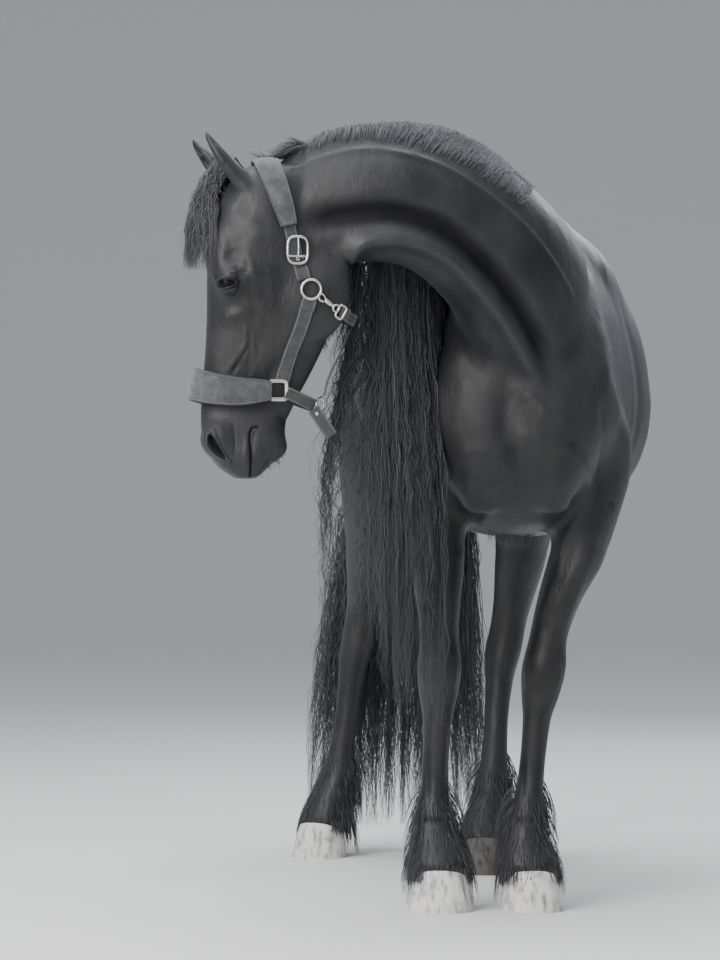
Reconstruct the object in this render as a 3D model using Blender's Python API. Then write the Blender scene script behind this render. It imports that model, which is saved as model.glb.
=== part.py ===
"""Friesian mare, life size, standing with the head turned to the right. Metres, +Z up, face -Y."""
import math
import random

import bmesh
import bpy
import numpy as np
from mathutils import Matrix, Vector
from mathutils.bvhtree import BVHTree

# Placing: the forms are set out round the fore hooves, then moved so the box stands over the origin
SHIFT = Vector((0.205, -0.472, 0.0))

# Sizes that drive the forms
GAP = 0.0003
BODY_VOXEL = 0.014
FLESH_VOXEL = 0.0075
BODY_ROUNDS = 14
HEAD_ROUNDS = 10
FLESH_ROUNDS = 4
FLESH_TRIANGLES = 4700
RING_POINTS = 28
LOFT_STEPS = 4

# Head frame: forward across the face, left, and down along the head
HEAD_TURN = math.radians(6)
HEAD_ORIGIN = Vector((-0.54, -0.51, 1.62))
DOWN = Vector((0, 0, -1))
EYE_RADIUS = 0.021
CREST = (0.034, 0.026)
EYE = (0.104, 0.086, 0.259)

# Locks of hair: how many, how closely they follow their line, and how they are laid over one another
MANE_LOCKS = 14
TAIL_LOCKS = 11
FORELOCK_LOCKS = 5
FEATHER_LOCKS = 5
MANE_LENGTH = (0.44, 0.78)
MANE_SLACK = 0.014
MANE_LAYERS = 4
TAIL_FOOT = (-0.265, 1.49)
TAIL_SPREAD = (0.245, 0.085)
LIFTS = 7
DEEP = 0.12
LIFT = 0.006
ROOT_SIZE = 0.40
FULL_FROM = 0.18
FULL_TO = 0.62

# Halter
WEBBING = 0.003
FELT = 0.010
PAD = 0.008
WIRE = 0.003
ROOM = 0.0025
LOOSE = 0.03


# Plain maths
def catmull(rows, steps):
    """Rows of numbers joined by a smooth curve, steps samples to each span."""
    rows = np.array(rows, dtype=float)
    ends = np.vstack([2 * rows[0] - rows[1], rows, 2 * rows[-1] - rows[-2]])
    out = []
    for k in range(len(rows) - 1):
        a, b, c, d = ends[k:k + 4]
        for step in range(steps):
            t = step / steps
            out.append(0.5 * (2 * b + (c - a) * t + (2 * a - 5 * b + 4 * c - d) * t * t
                              + (3 * b - a - 3 * c + d) * t ** 3))
    out.append(rows[-1])
    return np.array(out)


def head_axes():
    """The head's forward, left and down axes."""
    c, s = math.cos(HEAD_TURN), math.sin(HEAD_TURN)
    return Vector((-c, -s, 0)), Vector((s, -c, 0)), DOWN


def in_head(forward, left, down):
    """A point given in the head's own frame."""
    f, l, d = head_axes()
    return HEAD_ORIGIN + f * forward + l * left + d * down


def power(value, exponent):
    """Signed power, for rings between an ellipse and a box."""
    return math.copysign(abs(value) ** exponent, value)


# Mesh makers
def add_object(name, bm):
    """The bmesh as a linked object of triangles with its faces turned out."""
    bmesh.ops.recalc_face_normals(bm, faces=bm.faces)
    bmesh.ops.triangulate(bm, faces=bm.faces, quad_method="FIXED")
    mesh = bpy.data.meshes.new(name)
    bm.to_mesh(mesh)
    bm.free()
    obj = bpy.data.objects.new(name, mesh)
    bpy.context.scene.collection.objects.link(obj)
    return obj


def loft(name, rings):
    """A closed body skinned over rings of points."""
    bm = bmesh.new()
    rows = [[bm.verts.new(p) for p in ring] for ring in rings]
    for lower, upper in zip(rows, rows[1:]):
        for k in range(len(lower)):
            n = (k + 1) % len(lower)
            bm.faces.new((lower[k], lower[n], upper[n], upper[k]))
    bm.faces.new(rows[0][::-1])
    bm.faces.new(rows[-1])
    return add_object(name, bm)


def oval(centre, side, up, half, top, bottom, square=2.0, points=RING_POINTS):
    """One ring: half wide along side, top and bottom high along up."""
    ring = []
    for k in range(points):
        angle = math.tau * k / points
        across = power(math.cos(angle), 2 / square) * half
        rise = power(math.sin(angle), 2 / square)
        rise *= top if rise > 0 else bottom
        ring.append(Vector(centre) + Vector(side) * across + Vector(up) * rise)
    return ring


# Trunk rows: y, centre x, top, bottom, half width, height of the widest place, square
TRUNK = [(-0.33, -0.035, 1.18, 1.04, 0.09, 1.10, 2.0), (-0.29, -0.03, 1.30, 0.96, 0.165, 1.11, 2.1),
         (-0.20, -0.02, 1.42, 0.89, 0.205, 1.11, 2.1), (-0.06, -0.015, 1.53, 0.84, 0.225, 1.12, 2.0),
         (0.08, -0.005, 1.585, 0.825, 0.245, 1.12, 1.9), (0.26, 0.0, 1.565, 0.82, 0.285, 1.12, 1.95),
         (0.45, 0.0, 1.535, 0.815, 0.320, 1.13, 2.1), (0.64, -0.015, 1.53, 0.835, 0.332, 1.13, 2.2),
         (0.82, -0.05, 1.555, 0.88, 0.315, 1.15, 2.25), (0.98, -0.085, 1.588, 0.95, 0.290, 1.20, 2.3),
         (1.12, -0.115, 1.575, 1.0, 0.275, 1.25, 2.3), (1.24, -0.145, 1.52, 1.02, 0.235, 1.27, 2.2),
         (1.33, -0.165, 1.43, 1.08, 0.155, 1.26, 2.0), (1.37, -0.175, 1.36, 1.16, 0.07, 1.26, 2.0)]


def trunk_tube():
    """The barrel."""
    rings = [oval((x, y, mid), (1, 0, 0), (0, 0, 1), half, top - mid, mid - bottom, square)
             for y, x, top, bottom, half, mid, square in catmull(TRUNK, LOFT_STEPS)]
    return loft("trunk", rings)


# Neck rows: centre, dorsal half, ventral half, half width, lean of the dorsal side to x and y
NECK = [(0.01, 0.10, 1.25, 0.29, 0.28, 0.175, 0.00, 0.75),
        (0.00, -0.06, 1.320, 0.265, 0.29, 0.172, 0.02, 0.78),
        (-0.020, -0.200, 1.395, 0.225, 0.260, 0.150, 0.03, 0.66),
        (-0.070, -0.310, 1.462, 0.180, 0.215, 0.126, 0.06, 0.45),
        (-0.145, -0.400, 1.516, 0.160, 0.180, 0.106, 0.08, 0.24),
        (-0.230, -0.465, 1.545, 0.148, 0.156, 0.094, 0.03, 0.08),
        (-0.330, -0.497, 1.547, 0.142, 0.140, 0.086, -0.05, 0.0),
        (-0.430, -0.505, 1.525, 0.136, 0.132, 0.080, -0.32, 0.0),
        (-0.520, -0.510, 1.475, 0.118, 0.115, 0.076, -0.80, 0.0)]


def neck_frames(steps):
    """Smoothed neck rows as centre, side, up, and the three half sizes."""
    rows = catmull(NECK, steps)
    frames = []
    for k, row in enumerate(rows):
        ahead = Vector(rows[min(k + 1, len(rows) - 1)][:3]) - Vector(rows[max(k - 1, 0)][:3])
        along = ahead.normalized()
        up = Vector((row[6], row[7], 1.0))
        up = (up - along * up.dot(along)).normalized()
        frames.append((Vector(row[:3]), along.cross(up).normalized(), up, row[3], row[4], row[5]))
    return frames


def neck_tube():
    """The neck, broad below and narrow along the crest."""
    rings = []
    for centre, side, up, top, bottom, half in neck_frames(LOFT_STEPS):
        ring = []
        for k in range(RING_POINTS):
            angle = math.tau * k / RING_POINTS
            rise = math.sin(angle)
            width = half * (1 - 0.38 * max(rise, 0) ** 2)
            ring.append(centre + side * width * power(math.cos(angle), 0.9)
                        + up * rise * (top if rise > 0 else bottom))
        rings.append(ring)
    return loft("neck", rings)


# Head rows: down, front, back, half width, place of the widest line, square
HEAD = [(0.005, 0.050, -0.070, 0.045, 0.00, 2.0), (0.03, 0.085, -0.095, 0.070, 0.00, 2.1),
        (0.08, 0.120, -0.110, 0.086, 0.03, 2.2), (0.15, 0.137, -0.118, 0.095, 0.05, 2.2),
        (0.22, 0.143, -0.128, 0.094, 0.06, 2.2), (0.29, 0.144, -0.130, 0.084, 0.05, 2.2),
        (0.36, 0.146, -0.118, 0.070, 0.04, 2.2), (0.42, 0.150, -0.092, 0.060, 0.05, 2.2),
        (0.47, 0.154, -0.066, 0.053, 0.06, 2.2), (0.52, 0.158, -0.040, 0.050, 0.07, 2.2),
        (0.56, 0.157, -0.026, 0.053, 0.08, 2.2), (0.60, 0.148, -0.018, 0.056, 0.08, 2.2),
        (0.64, 0.124, 0.008, 0.049, 0.08, 2.2), (0.668, 0.086, 0.036, 0.024, 0.062, 2.0)]


def head_tube():
    """The skull with nose and jaw, skinned down the head."""
    f, l, _ = head_axes()
    rings = []
    for down, front, back, half, mid, square in catmull(HEAD, LOFT_STEPS):
        rings.append(oval(in_head(mid, 0, down), l, f, half, front - mid, mid - back, square))
    return loft("skull", rings)


# Leg rows: x, y, z, half across, half forward, half back
FORE_LEFT = [(0.165, 0.02, 1.20, 0.080, 0.150, 0.120), (0.178, 0.01, 1.08, 0.085, 0.160, 0.150),
             (0.168, 0.03, 0.98, 0.080, 0.125, 0.155), (0.155, 0.02, 0.90, 0.073, 0.110, 0.122),
             (0.121, 0.01, 0.775, 0.064, 0.090, 0.086), (0.083, 0.0, 0.684, 0.051, 0.070, 0.064),
             (0.058, 0.0, 0.60, 0.044, 0.052, 0.050), (0.048, -0.002, 0.53, 0.051, 0.054, 0.052),
             (0.040, 0.0, 0.468, 0.043, 0.043, 0.046), (0.033, 0.004, 0.418, 0.033, 0.036, 0.042),
             (0.024, 0.006, 0.33, 0.030, 0.033, 0.042), (0.016, 0.004, 0.255, 0.033, 0.037, 0.047),
             (0.012, 0.0, 0.213, 0.042, 0.044, 0.054), (0.010, -0.012, 0.160, 0.050, 0.046, 0.058),
             (0.014, -0.028, 0.105, 0.064, 0.060, 0.066), (0.018, -0.034, 0.058, 0.062, 0.062, 0.062)]
FORE_RIGHT = [(-0.185, 0.02, 1.20, 0.080, 0.150, 0.120), (-0.205, 0.01, 1.08, 0.085, 0.160, 0.150),
              (-0.203, 0.03, 0.98, 0.080, 0.125, 0.155), (-0.196, 0.02, 0.90, 0.073, 0.110, 0.122),
              (-0.190, 0.01, 0.775, 0.064, 0.090, 0.086), (-0.186, 0.0, 0.684, 0.051, 0.070, 0.064),
              (-0.184, 0.0, 0.60, 0.044, 0.052, 0.050), (-0.184, -0.002, 0.53, 0.051, 0.054, 0.052),
              (-0.186, 0.0, 0.468, 0.043, 0.043, 0.046), (-0.188, 0.004, 0.418, 0.034, 0.036, 0.042),
              (-0.192, 0.006, 0.33, 0.031, 0.033, 0.042), (-0.195, 0.004, 0.255, 0.034, 0.037, 0.047),
              (-0.196, 0.0, 0.213, 0.043, 0.044, 0.054), (-0.192, -0.014, 0.160, 0.052, 0.046, 0.058),
              (-0.186, -0.032, 0.105, 0.067, 0.062, 0.067), (-0.182, -0.038, 0.058, 0.065, 0.064, 0.063)]
HIND_LEFT = [(0.03, 1.06, 1.30, 0.110, 0.180, 0.180), (0.045, 1.01, 1.14, 0.115, 0.185, 0.200),
             (0.052, 0.955, 1.00, 0.100, 0.165, 0.200), (0.046, 0.955, 0.88, 0.080, 0.140, 0.150),
             (0.034, 0.985, 0.76, 0.062, 0.095, 0.105), (0.018, 1.020, 0.67, 0.045, 0.066, 0.082),
             (0.004, 1.030, 0.60, 0.041, 0.060, 0.085), (-0.008, 1.015, 0.53, 0.044, 0.062, 0.062),
             (-0.018, 0.995, 0.46, 0.036, 0.045, 0.050), (-0.026, 0.975, 0.37, 0.031, 0.036, 0.043),
             (-0.032, 0.950, 0.27, 0.034, 0.038, 0.046), (-0.036, 0.935, 0.22, 0.042, 0.044, 0.052),
             (-0.045, 0.903, 0.160, 0.048, 0.045, 0.056), (-0.053, 0.877, 0.105, 0.060, 0.056, 0.062),
             (-0.058, 0.868, 0.058, 0.058, 0.058, 0.058)]
HIND_RIGHT = [(-0.27, 1.12, 1.30, 0.110, 0.180, 0.180), (-0.295, 1.09, 1.14, 0.115, 0.190, 0.200),
              (-0.315, 1.07, 1.00, 0.100, 0.175, 0.200), (-0.325, 1.10, 0.88, 0.080, 0.145, 0.150),
              (-0.335, 1.19, 0.76, 0.062, 0.095, 0.105), (-0.348, 1.265, 0.67, 0.045, 0.066, 0.082),
              (-0.358, 1.315, 0.60, 0.041, 0.060, 0.085), (-0.368, 1.325, 0.53, 0.044, 0.062, 0.062),
              (-0.380, 1.325, 0.46, 0.036, 0.045, 0.050), (-0.392, 1.325, 0.37, 0.031, 0.036, 0.043),
              (-0.407, 1.325, 0.27, 0.034, 0.038, 0.046), (-0.414, 1.325, 0.22, 0.042, 0.044, 0.052),
              (-0.434, 1.311, 0.160, 0.048, 0.045, 0.056), (-0.447, 1.303, 0.105, 0.060, 0.056, 0.062),
              (-0.456, 1.299, 0.058, 0.058, 0.058, 0.058)]
LEGS = {"fore_left": FORE_LEFT, "fore_right": FORE_RIGHT, "hind_left": HIND_LEFT, "hind_right": HIND_RIGHT}


def leg_tube(name, rows):
    """A leg of level rings, from inside the trunk down into the hoof."""
    rings = [oval((x, y, z), (1, 0, 0), (0, -1, 0), half, front, back)
             for x, y, z, half, front, back in catmull(rows, LOFT_STEPS)]
    return loft(name, rings)


# Muscles of the left side: two ends (out from the middle line, y, z), breadth, depth, outward side
MUSCLES = [
    ((0.075, 0.10, 1.50), (0.175, -0.19, 1.17), 0.110, 0.055, (1, 0.2, 0.2)),
    ((0.180, -0.19, 1.15), (0.185, 0.06, 1.00), 0.080, 0.052, (1, 0, 0)),
    ((0.150, 0.12, 1.34), (0.178, 0.09, 1.02), 0.125, 0.055, (1, 0, 0)),
    ((0.070, -0.265, 1.12), (0.085, -0.195, 0.91), 0.072, 0.075, (0, -1, 0)),
    ((0.190, 0.78, 1.43), (0.200, 0.90, 1.36), 0.085, 0.050, (1, 0, 0.4)),
    ((0.110, 0.84, 1.45), (0.150, 1.16, 1.41), 0.130, 0.100, (0.5, 0, 0.85)),
    ((0.190, 0.88, 1.36), (0.165, 0.90, 1.02), 0.120, 0.080, (1, 0, 0)),
    ((0.125, 1.22, 1.36), (0.140, 1.12, 1.00), 0.130, 0.092, (1, 0, 0)),
    ((0.150, 1.04, 1.36), (0.150, 1.02, 1.05), 0.150, 0.100, (1, 0, 0)),
    ((0.200, 0.35, 1.18), (0.210, 0.62, 1.14), 0.220, 0.095, (1, 0, 0)),
]
HEAD_MASSES = [
    ((-0.060, 0.045, 0.275), (0.098, 0.044, 0.115), 0),
    ((0.100, 0.074, 0.258), (0.032, 0.034, 0.034), 0),
    ((0.060, 0.076, 0.235), (0.075, 0.028, 0.026), 6),
    ((0.045, 0.066, 0.305), (0.080, 0.018, 0.016), -22),
    ((0.108, 0.040, 0.205), (0.036, 0.050, 0.080), 0),
    ((0.118, 0.034, 0.585), (0.040, 0.032, 0.046), -12),
    ((0.060, 0.030, 0.610), (0.050, 0.030, 0.034), 0),
    ((0.006, 0.014, 0.598), (0.036, 0.032, 0.034), 0),
]
EAR_ROWS = [(0.045, -0.01, 0.032, 0.028), (0.0, 0.0, 0.029, 0.024), (-0.040, 0.004, 0.030, 0.021),
            (-0.078, 0.006, 0.026, 0.017), (-0.108, 0.003, 0.016, 0.010), (-0.130, -0.003, 0.005, 0.004)]


def ellipsoid(name, centre, radii, matrix, detail=3):
    """A ball stretched to three half sizes."""
    bm = bmesh.new()
    bmesh.ops.create_icosphere(bm, subdivisions=detail, radius=1.0)
    scale = Matrix.Diagonal((*radii, 1))
    bmesh.ops.transform(bm, matrix=Matrix.Translation(centre) @ matrix @ scale, verts=bm.verts)
    return add_object(name, bm)


def middle(y):
    """The body's middle line seen from above, which bends a little to the right."""
    rows = np.array(TRUNK)
    return float(np.interp(y, rows[:, 0], rows[:, 1]))


def muscle(start, end, wide, deep, out):
    """A long ball between two ends, flat toward the outward side."""
    along = end - start
    half = along.length / 2
    along.normalize()
    out = (out - along * out.dot(along)).normalized()
    axes = Matrix((along, along.cross(out), out)).transposed().to_4x4()
    return ellipsoid("mass", (start + end) / 2, (half + wide * 0.6, wide, deep), axes)


def body_masses():
    """The muscles of chest, shoulders, flanks and quarters, left and right."""
    made = []
    for start, end, wide, deep, out in MUSCLES:
        for side in (1, -1):
            ends = [Vector((middle(p[1]) + p[0] * side, p[1], p[2])) for p in (start, end)]
            made.append(muscle(*ends, wide, deep, Vector((out[0] * side, out[1], out[2]))))
    return made


def head_masses():
    """Cheeks, brows, nostrils and lips, on both sides of the head."""
    f, l, d = head_axes()
    made = []
    for (forward, left, down), radii, degrees in HEAD_MASSES:
        for side in (1, -1):
            axes = Matrix((f, l * side, d)).transposed().to_4x4()
            turn = Matrix.Rotation(math.radians(degrees), 4, "Y")
            made.append(ellipsoid("mass", in_head(forward, left * side, down), radii, axes @ turn))
    return made


def ear_frame(side):
    """The ear's base, its up line, its open side and its breadth."""
    f, l, d = head_axes()
    up = (-d + f * (0.80 - 0.06 * side) + l * 0.16 * side).normalized()
    face = (f * 0.9 - l * 0.12 * side - up * (f * 0.9 - l * 0.12 * side).dot(up)).normalized()
    return in_head(0.082 - 0.006 * side, 0.052 * side, 0.044), up, face, up.cross(face).normalized()


def ear_tube(side):
    """One pricked ear, curved to its tip."""
    base, up, face, across = ear_frame(side)
    rings = [oval(base - up * rise + face * lean * 0.55, across, face, half, deep, deep, 2.0, 16)
             for rise, lean, half, deep in catmull(EAR_ROWS, LOFT_STEPS)]
    return loft("ear", rings)


def dock_rows():
    """Centre and half size of the tail bone, from inside the croup down."""
    return [(-0.160, 1.28, 1.455, 0.046), (-0.175, 1.34, 1.455, 0.046), (-0.185, 1.405, 1.41, 0.043),
            (-0.195, 1.445, 1.32, 0.038), (-0.205, 1.460, 1.20, 0.032), (-0.215, 1.465, 1.06, 0.026),
            (-0.225, 1.470, 0.92, 0.018)]


def dock_tube(grow=0.0):
    """The tail's fleshy root."""
    rows = catmull(dock_rows(), LOFT_STEPS)
    rings = []
    for k, (x, y, z, half) in enumerate(rows):
        ahead = Vector(rows[min(k + 1, len(rows) - 1)][:3]) - Vector(rows[max(k - 1, 0)][:3])
        along = ahead.normalized()
        up = Vector((1, 0, 0)).cross(along).normalized()
        spot = Vector((x, y, z)) + along * (grow if k == len(rows) - 1 else -grow if k == 0 else 0)
        rings.append(oval(spot, (1, 0, 0), up, half + grow, half + grow, half + grow, 2.0, 12))
    return loft("tail", rings)


# Modifiers
def apply_modifiers(obj):
    """The object's modifiers baked into its mesh."""
    graph = bpy.context.evaluated_depsgraph_get()
    mesh = bpy.data.meshes.new_from_object(obj.evaluated_get(graph), depsgraph=graph)
    obj.modifiers.clear()
    old = obj.data
    obj.data = mesh
    bpy.data.meshes.remove(old)


def join(objects, name):
    """One object from many, their surfaces not yet united."""
    bm = bmesh.new()
    for obj in objects:
        bm.from_mesh(obj.data)
    for obj in objects:
        bpy.data.objects.remove(obj)
    return add_object(name, bm)


def remesh(obj, voxel, rounds):
    """Fused into one skin and smoothed."""
    mod = obj.modifiers.new("fuse", "REMESH")
    mod.mode = "VOXEL"
    mod.voxel_size = voxel
    smooth = obj.modifiers.new("smooth", "SMOOTH")
    smooth.factor = 0.5
    smooth.iterations = rounds
    apply_modifiers(obj)


# Strokes pressed into the skin or raised from it
def coordinates(mesh):
    """The mesh's vertices and normals as arrays."""
    points = np.empty(len(mesh.vertices) * 3)
    mesh.vertices.foreach_get("co", points)
    normals = np.empty(len(mesh.vertices) * 3)
    mesh.vertex_normals.foreach_get("vector", normals)
    return points.reshape(-1, 3), normals.reshape(-1, 3)


def path_distance(points, path):
    """How far each point lies from a line of straight pieces."""
    best = np.full(len(points), 9.0)
    for a, b in zip(path, path[1:]):
        a, b = np.array(a), np.array(b)
        step = b - a
        t = np.clip((points - a) @ step / max(step @ step, 1e-12), 0, 1)
        best = np.minimum(best, np.linalg.norm(points - a - t[:, None] * step, axis=1))
    return best


def surface_tree(obj):
    """The object's surface ready for nearest point questions."""
    mesh = obj.data
    return BVHTree.FromPolygons([v.co for v in mesh.vertices], [p.vertices for p in mesh.polygons])


def joint_tree(objects):
    """The surfaces of several objects as one."""
    points, faces = [], []
    for obj in objects:
        base = len(points)
        points += [v.co for v in obj.data.vertices]
        faces += [[base + v for v in p.vertices] for p in obj.data.polygons]
    return BVHTree.FromPolygons(points, faces)


def press(obj, strokes):
    """Each stroke, a path with a width and a depth, laid on the skin and pushed in along the normals."""
    mesh = obj.data
    tree = surface_tree(obj)
    points, normals = coordinates(mesh)
    moved = np.zeros(len(points))
    for path, width, depth in strokes:
        path = [tree.find_nearest(Vector(p))[0] for p in catmull(path, 4)]
        near = path_distance(points, path)
        moved += depth * np.exp(-(near / width) ** 2)
    mesh.vertices.foreach_set("co", (points - normals * moved[:, None]).ravel())
    mesh.update()


def body_strokes():
    """Grooves between the muscles: paths in model space, width and depth."""
    breast = [(-0.052, -0.40, 1.20), (-0.050, -0.42, 1.05), (-0.050, -0.38, 0.93), (-0.045, -0.25, 0.84)]
    breast_left = [(0.125, -0.33, 1.20), (0.105, -0.36, 1.05), (0.10, -0.30, 0.93), (0.11, -0.16, 0.86)]
    breast_right = [(-0.215, -0.33, 1.20), (-0.20, -0.36, 1.05), (-0.20, -0.30, 0.93), (-0.20, -0.16, 0.86)]
    shoulder_left = [(0.16, 0.02, 1.56), (0.20, -0.12, 1.42), (0.20, -0.24, 1.28), (0.16, -0.32, 1.18)]
    shoulder_right = [(-0.17, 0.02, 1.56), (-0.22, -0.12, 1.42), (-0.22, -0.24, 1.28), (-0.20, -0.32, 1.18)]
    girth_left = [(0.25, 0.24, 1.40), (0.28, 0.25, 1.15), (0.25, 0.22, 0.97)]
    girth_right = [(-0.27, 0.24, 1.40), (-0.30, 0.25, 1.15), (-0.27, 0.22, 0.97)]
    quarters = [(-0.16, 1.37, 1.36), (-0.165, 1.40, 1.20), (-0.160, 1.33, 1.02), (-0.150, 1.15, 0.98)]
    return [(breast, 0.026, 0.010), (breast_left, 0.026, 0.004), (breast_right, 0.026, 0.004),
            (shoulder_left, 0.038, 0.010), (shoulder_right, 0.038, 0.010),
            (girth_left, 0.040, 0.006), (girth_right, 0.040, 0.006), (quarters, 0.030, 0.035)]


def both_sides(rows):
    """Head strokes given once, laid on the left and the right."""
    made = []
    for path, width, depth in rows:
        for side in (1, -1):
            made.append(([in_head(f, l * side, d) for f, l, d in path], width, depth))
    return made


def head_strokes():
    """Eye sockets, lids, nostrils, mouth line, jaw and cheek lines."""
    return both_sides([
        ([(0.112, 0.103, 0.262), (0.095, 0.112, 0.258), (0.078, 0.112, 0.264)], 0.013, 0.010),
        ([(0.125, 0.090, 0.250), (0.105, 0.112, 0.240), (0.078, 0.118, 0.245)], 0.008, -0.006),
        ([(0.125, 0.085, 0.272), (0.105, 0.108, 0.282), (0.078, 0.110, 0.276)], 0.008, -0.004),
        ([(0.105, 0.085, 0.190), (0.085, 0.095, 0.215)], 0.020, 0.008),
        ([(0.140, 0.052, 0.575), (0.122, 0.068, 0.590), (0.105, 0.068, 0.612)], 0.010, 0.020),
        ([(0.035, 0.055, 0.560), (0.048, 0.060, 0.590), (0.060, 0.055, 0.625), (0.062, 0.030, 0.655)],
         0.005, 0.007),
        ([(0.062, 0.0, 0.665), (0.062, 0.030, 0.655)], 0.005, 0.007),
        ([(-0.13, 0.05, 0.16), (-0.16, 0.05, 0.28), (-0.10, 0.06, 0.39)], 0.016, -0.003),
        ([(0.10, 0.075, 0.330), (0.07, 0.072, 0.400), (0.065, 0.060, 0.440)], 0.008, -0.003),
        ([(-0.015, 0.070, 0.400), (0.02, 0.060, 0.470), (0.03, 0.055, 0.53)], 0.016, 0.006),
        ([(0.0, 0.035, 0.530), (-0.01, 0.0, 0.540)], 0.014, 0.006),
    ])


def ear_strokes():
    """The hollow in the front of each ear."""
    made = []
    for side in (1, -1):
        base, up, face, _ = ear_frame(side)
        rows = ((0.012, 0.040), (0.06, 0.045), (0.105, 0.045))
        made.append(([base + up * rise + face * lean for rise, lean in rows], 0.013, 0.020))
    return made


def flesh():
    """The whole horse without hair and hooves, as one closed skin."""
    legs = [leg_tube(*leg) for leg in LEGS.items()]
    body = join([trunk_tube(), neck_tube()] + body_masses() + legs, "body")
    remesh(body, BODY_VOXEL, BODY_ROUNDS)
    head = join([head_tube()] + head_masses(), "head")
    remesh(head, FLESH_VOXEL, HEAD_ROUNDS)
    legs = [leg_tube(*leg) for leg in LEGS.items()]
    skin = join([body, head, ear_tube(1), ear_tube(-1)] + legs, "flesh")
    remesh(skin, FLESH_VOXEL, FLESH_ROUNDS)
    press(skin, body_strokes() + head_strokes() + ear_strokes())
    return skin


# Cuts
def prism(name, low, high, front, back, grow=0.0):
    """A block with a level floor and a roof that slopes across: low is (x, x, z), high ((x, z), (x, z))."""
    x0, x1, floor = low
    (t0, z0), (t1, z1) = high
    outer = 1 if x1 > x0 else -1
    bm = bmesh.new()
    corners = []
    for y in (front - grow, back + grow):
        for x, z in ((x0 - grow * outer, floor - grow), (x1 + grow * outer, floor - grow),
                     (t1 + grow * outer, z1 + grow), (t0 - grow * outer, z0 + grow)):
            corners.append(bm.verts.new((x, y, z)))
    for face in ((0, 1, 2, 3), (7, 6, 5, 4), (0, 4, 5, 1), (1, 5, 6, 2), (2, 6, 7, 3), (3, 7, 4, 0)):
        bm.faces.new([corners[k] for k in face])
    return add_object(name, bm)


def plate(centre, normal, half):
    """A thin square plate that parts the flesh across the normal."""
    bm = bmesh.new()
    bmesh.ops.create_cube(bm, size=1.0)
    turn = Vector(normal).to_track_quat("Z", "Y").to_matrix().to_4x4()
    scale = Matrix.Diagonal((half * 2, half * 2, GAP, 1))
    bmesh.ops.transform(bm, matrix=Matrix.Translation(centre) @ turn @ scale, verts=bm.verts)
    return add_object("plate", bm)


def boolean(obj, operation, other):
    """The object changed by one Boolean with another object, which is then removed."""
    mod = obj.modifiers.new("cut", "BOOLEAN")
    mod.operation = operation
    mod.solver = "MANIFOLD"
    mod.object = other
    apply_modifiers(obj)
    bpy.data.objects.remove(other)


def islands(bm):
    """The bmesh's separate surfaces as lists of faces."""
    left = set(bm.faces)
    found = []
    while left:
        stack = [left.pop()]
        piece = []
        while stack:
            face = stack.pop()
            piece.append(face)
            for edge in face.edges:
                for near in edge.link_faces:
                    if near in left:
                        left.remove(near)
                        stack.append(near)
        found.append(piece)
    return found


def split_loose(obj, seeds):
    """One node for each seed point: the loose surface nearest to it, largest first."""
    bm = bmesh.new()
    bm.from_mesh(obj.data)
    pieces = sorted(islands(bm), key=len, reverse=True)[:len(seeds)]
    made = {}
    for piece in pieces:
        points = {v for face in piece for v in face.verts}
        centre = sum((v.co for v in points), Vector()) / len(points)
        name = min((n for n in seeds if n not in made), key=lambda n: (Vector(seeds[n]) - centre).length)
        part = bmesh.new()
        twins = {v: part.verts.new(v.co) for v in points}
        for face in piece:
            part.faces.new([twins[v] for v in face.verts])
        made[name] = add_object(name, part)
    bm.free()
    bpy.data.objects.remove(obj)
    return made


def keep_largest(obj):
    """Crumbs left by a cut taken away."""
    bm = bmesh.new()
    bm.from_mesh(obj.data)
    pieces = sorted(islands(bm), key=len, reverse=True)
    for piece in pieces[1:]:
        bmesh.ops.delete(bm, geom=piece, context="FACES")
    loose = [v for v in bm.verts if not v.link_faces]
    bmesh.ops.delete(bm, geom=loose, context="VERTS")
    bm.to_mesh(obj.data)
    bm.free()


# Hooves: middle of the sole, heading in degrees, and half width
HOOVES = {"fore_left": ((0.020, -0.045), 2, 0.070), "fore_right": ((-0.180, -0.050), -6, 0.073),
          "hind_left": ((-0.060, 0.850), -4, 0.066), "hind_right": ((-0.462, 1.285), -24, 0.066)}
HOOF_HEIGHT = 0.080
HOOF_LEAN = 0.86
TOE = 1.10
HEEL = 0.92
# Hoof levels: share of the height, size, how far back, and tilt
HOOF_LEVELS = [(0.0, 1.0, 0.0, 0.0), (0.45, 0.935, 0.008, 0.18), (0.9, 0.84, 0.015, 0.36),
               (0.98, 0.78, 0.016, 0.38), (1.0, 0.60, 0.017, 0.38)]


def hoof_rings(name, grow=0.0):
    """The hoof's outline from the flat sole up to the sloping coronet."""
    (x, y), degrees, half = HOOVES[name]
    angle = math.radians(degrees)
    toe = Vector((math.sin(angle), -math.cos(angle), 0))
    side = Vector((math.cos(angle), math.sin(angle), 0))
    rings = []
    for share, size, back, tilt in HOOF_LEVELS:
        rise = HOOF_HEIGHT * share + (-grow if share == 0 else grow if share == 1 else 0)
        centre = Vector((x, y, rise * HOOF_LEAN)) - toe * back
        wide = half * size
        ring = oval(centre, side, toe, wide + grow, wide * TOE + grow, wide * HEEL + grow, 2.3, 14)
        rings.append([p + Vector((0, 0, tilt * (p - centre).dot(toe))) for p in ring])
    return rings


def hooves():
    """Four hooves, flat on the ground."""
    return {f"hoof_{name}": loft(f"hoof_{name}", hoof_rings(name)) for name in HOOVES}


def eye(side, radius):
    """One eyeball."""
    bm = bmesh.new()
    bmesh.ops.create_uvsphere(bm, u_segments=12, v_segments=7, radius=radius)
    f, l, d = EYE
    bmesh.ops.translate(bm, vec=in_head(f, l * side, d), verts=bm.verts)
    return add_object("eye_left" if side > 0 else "eye_right", bm)


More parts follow.
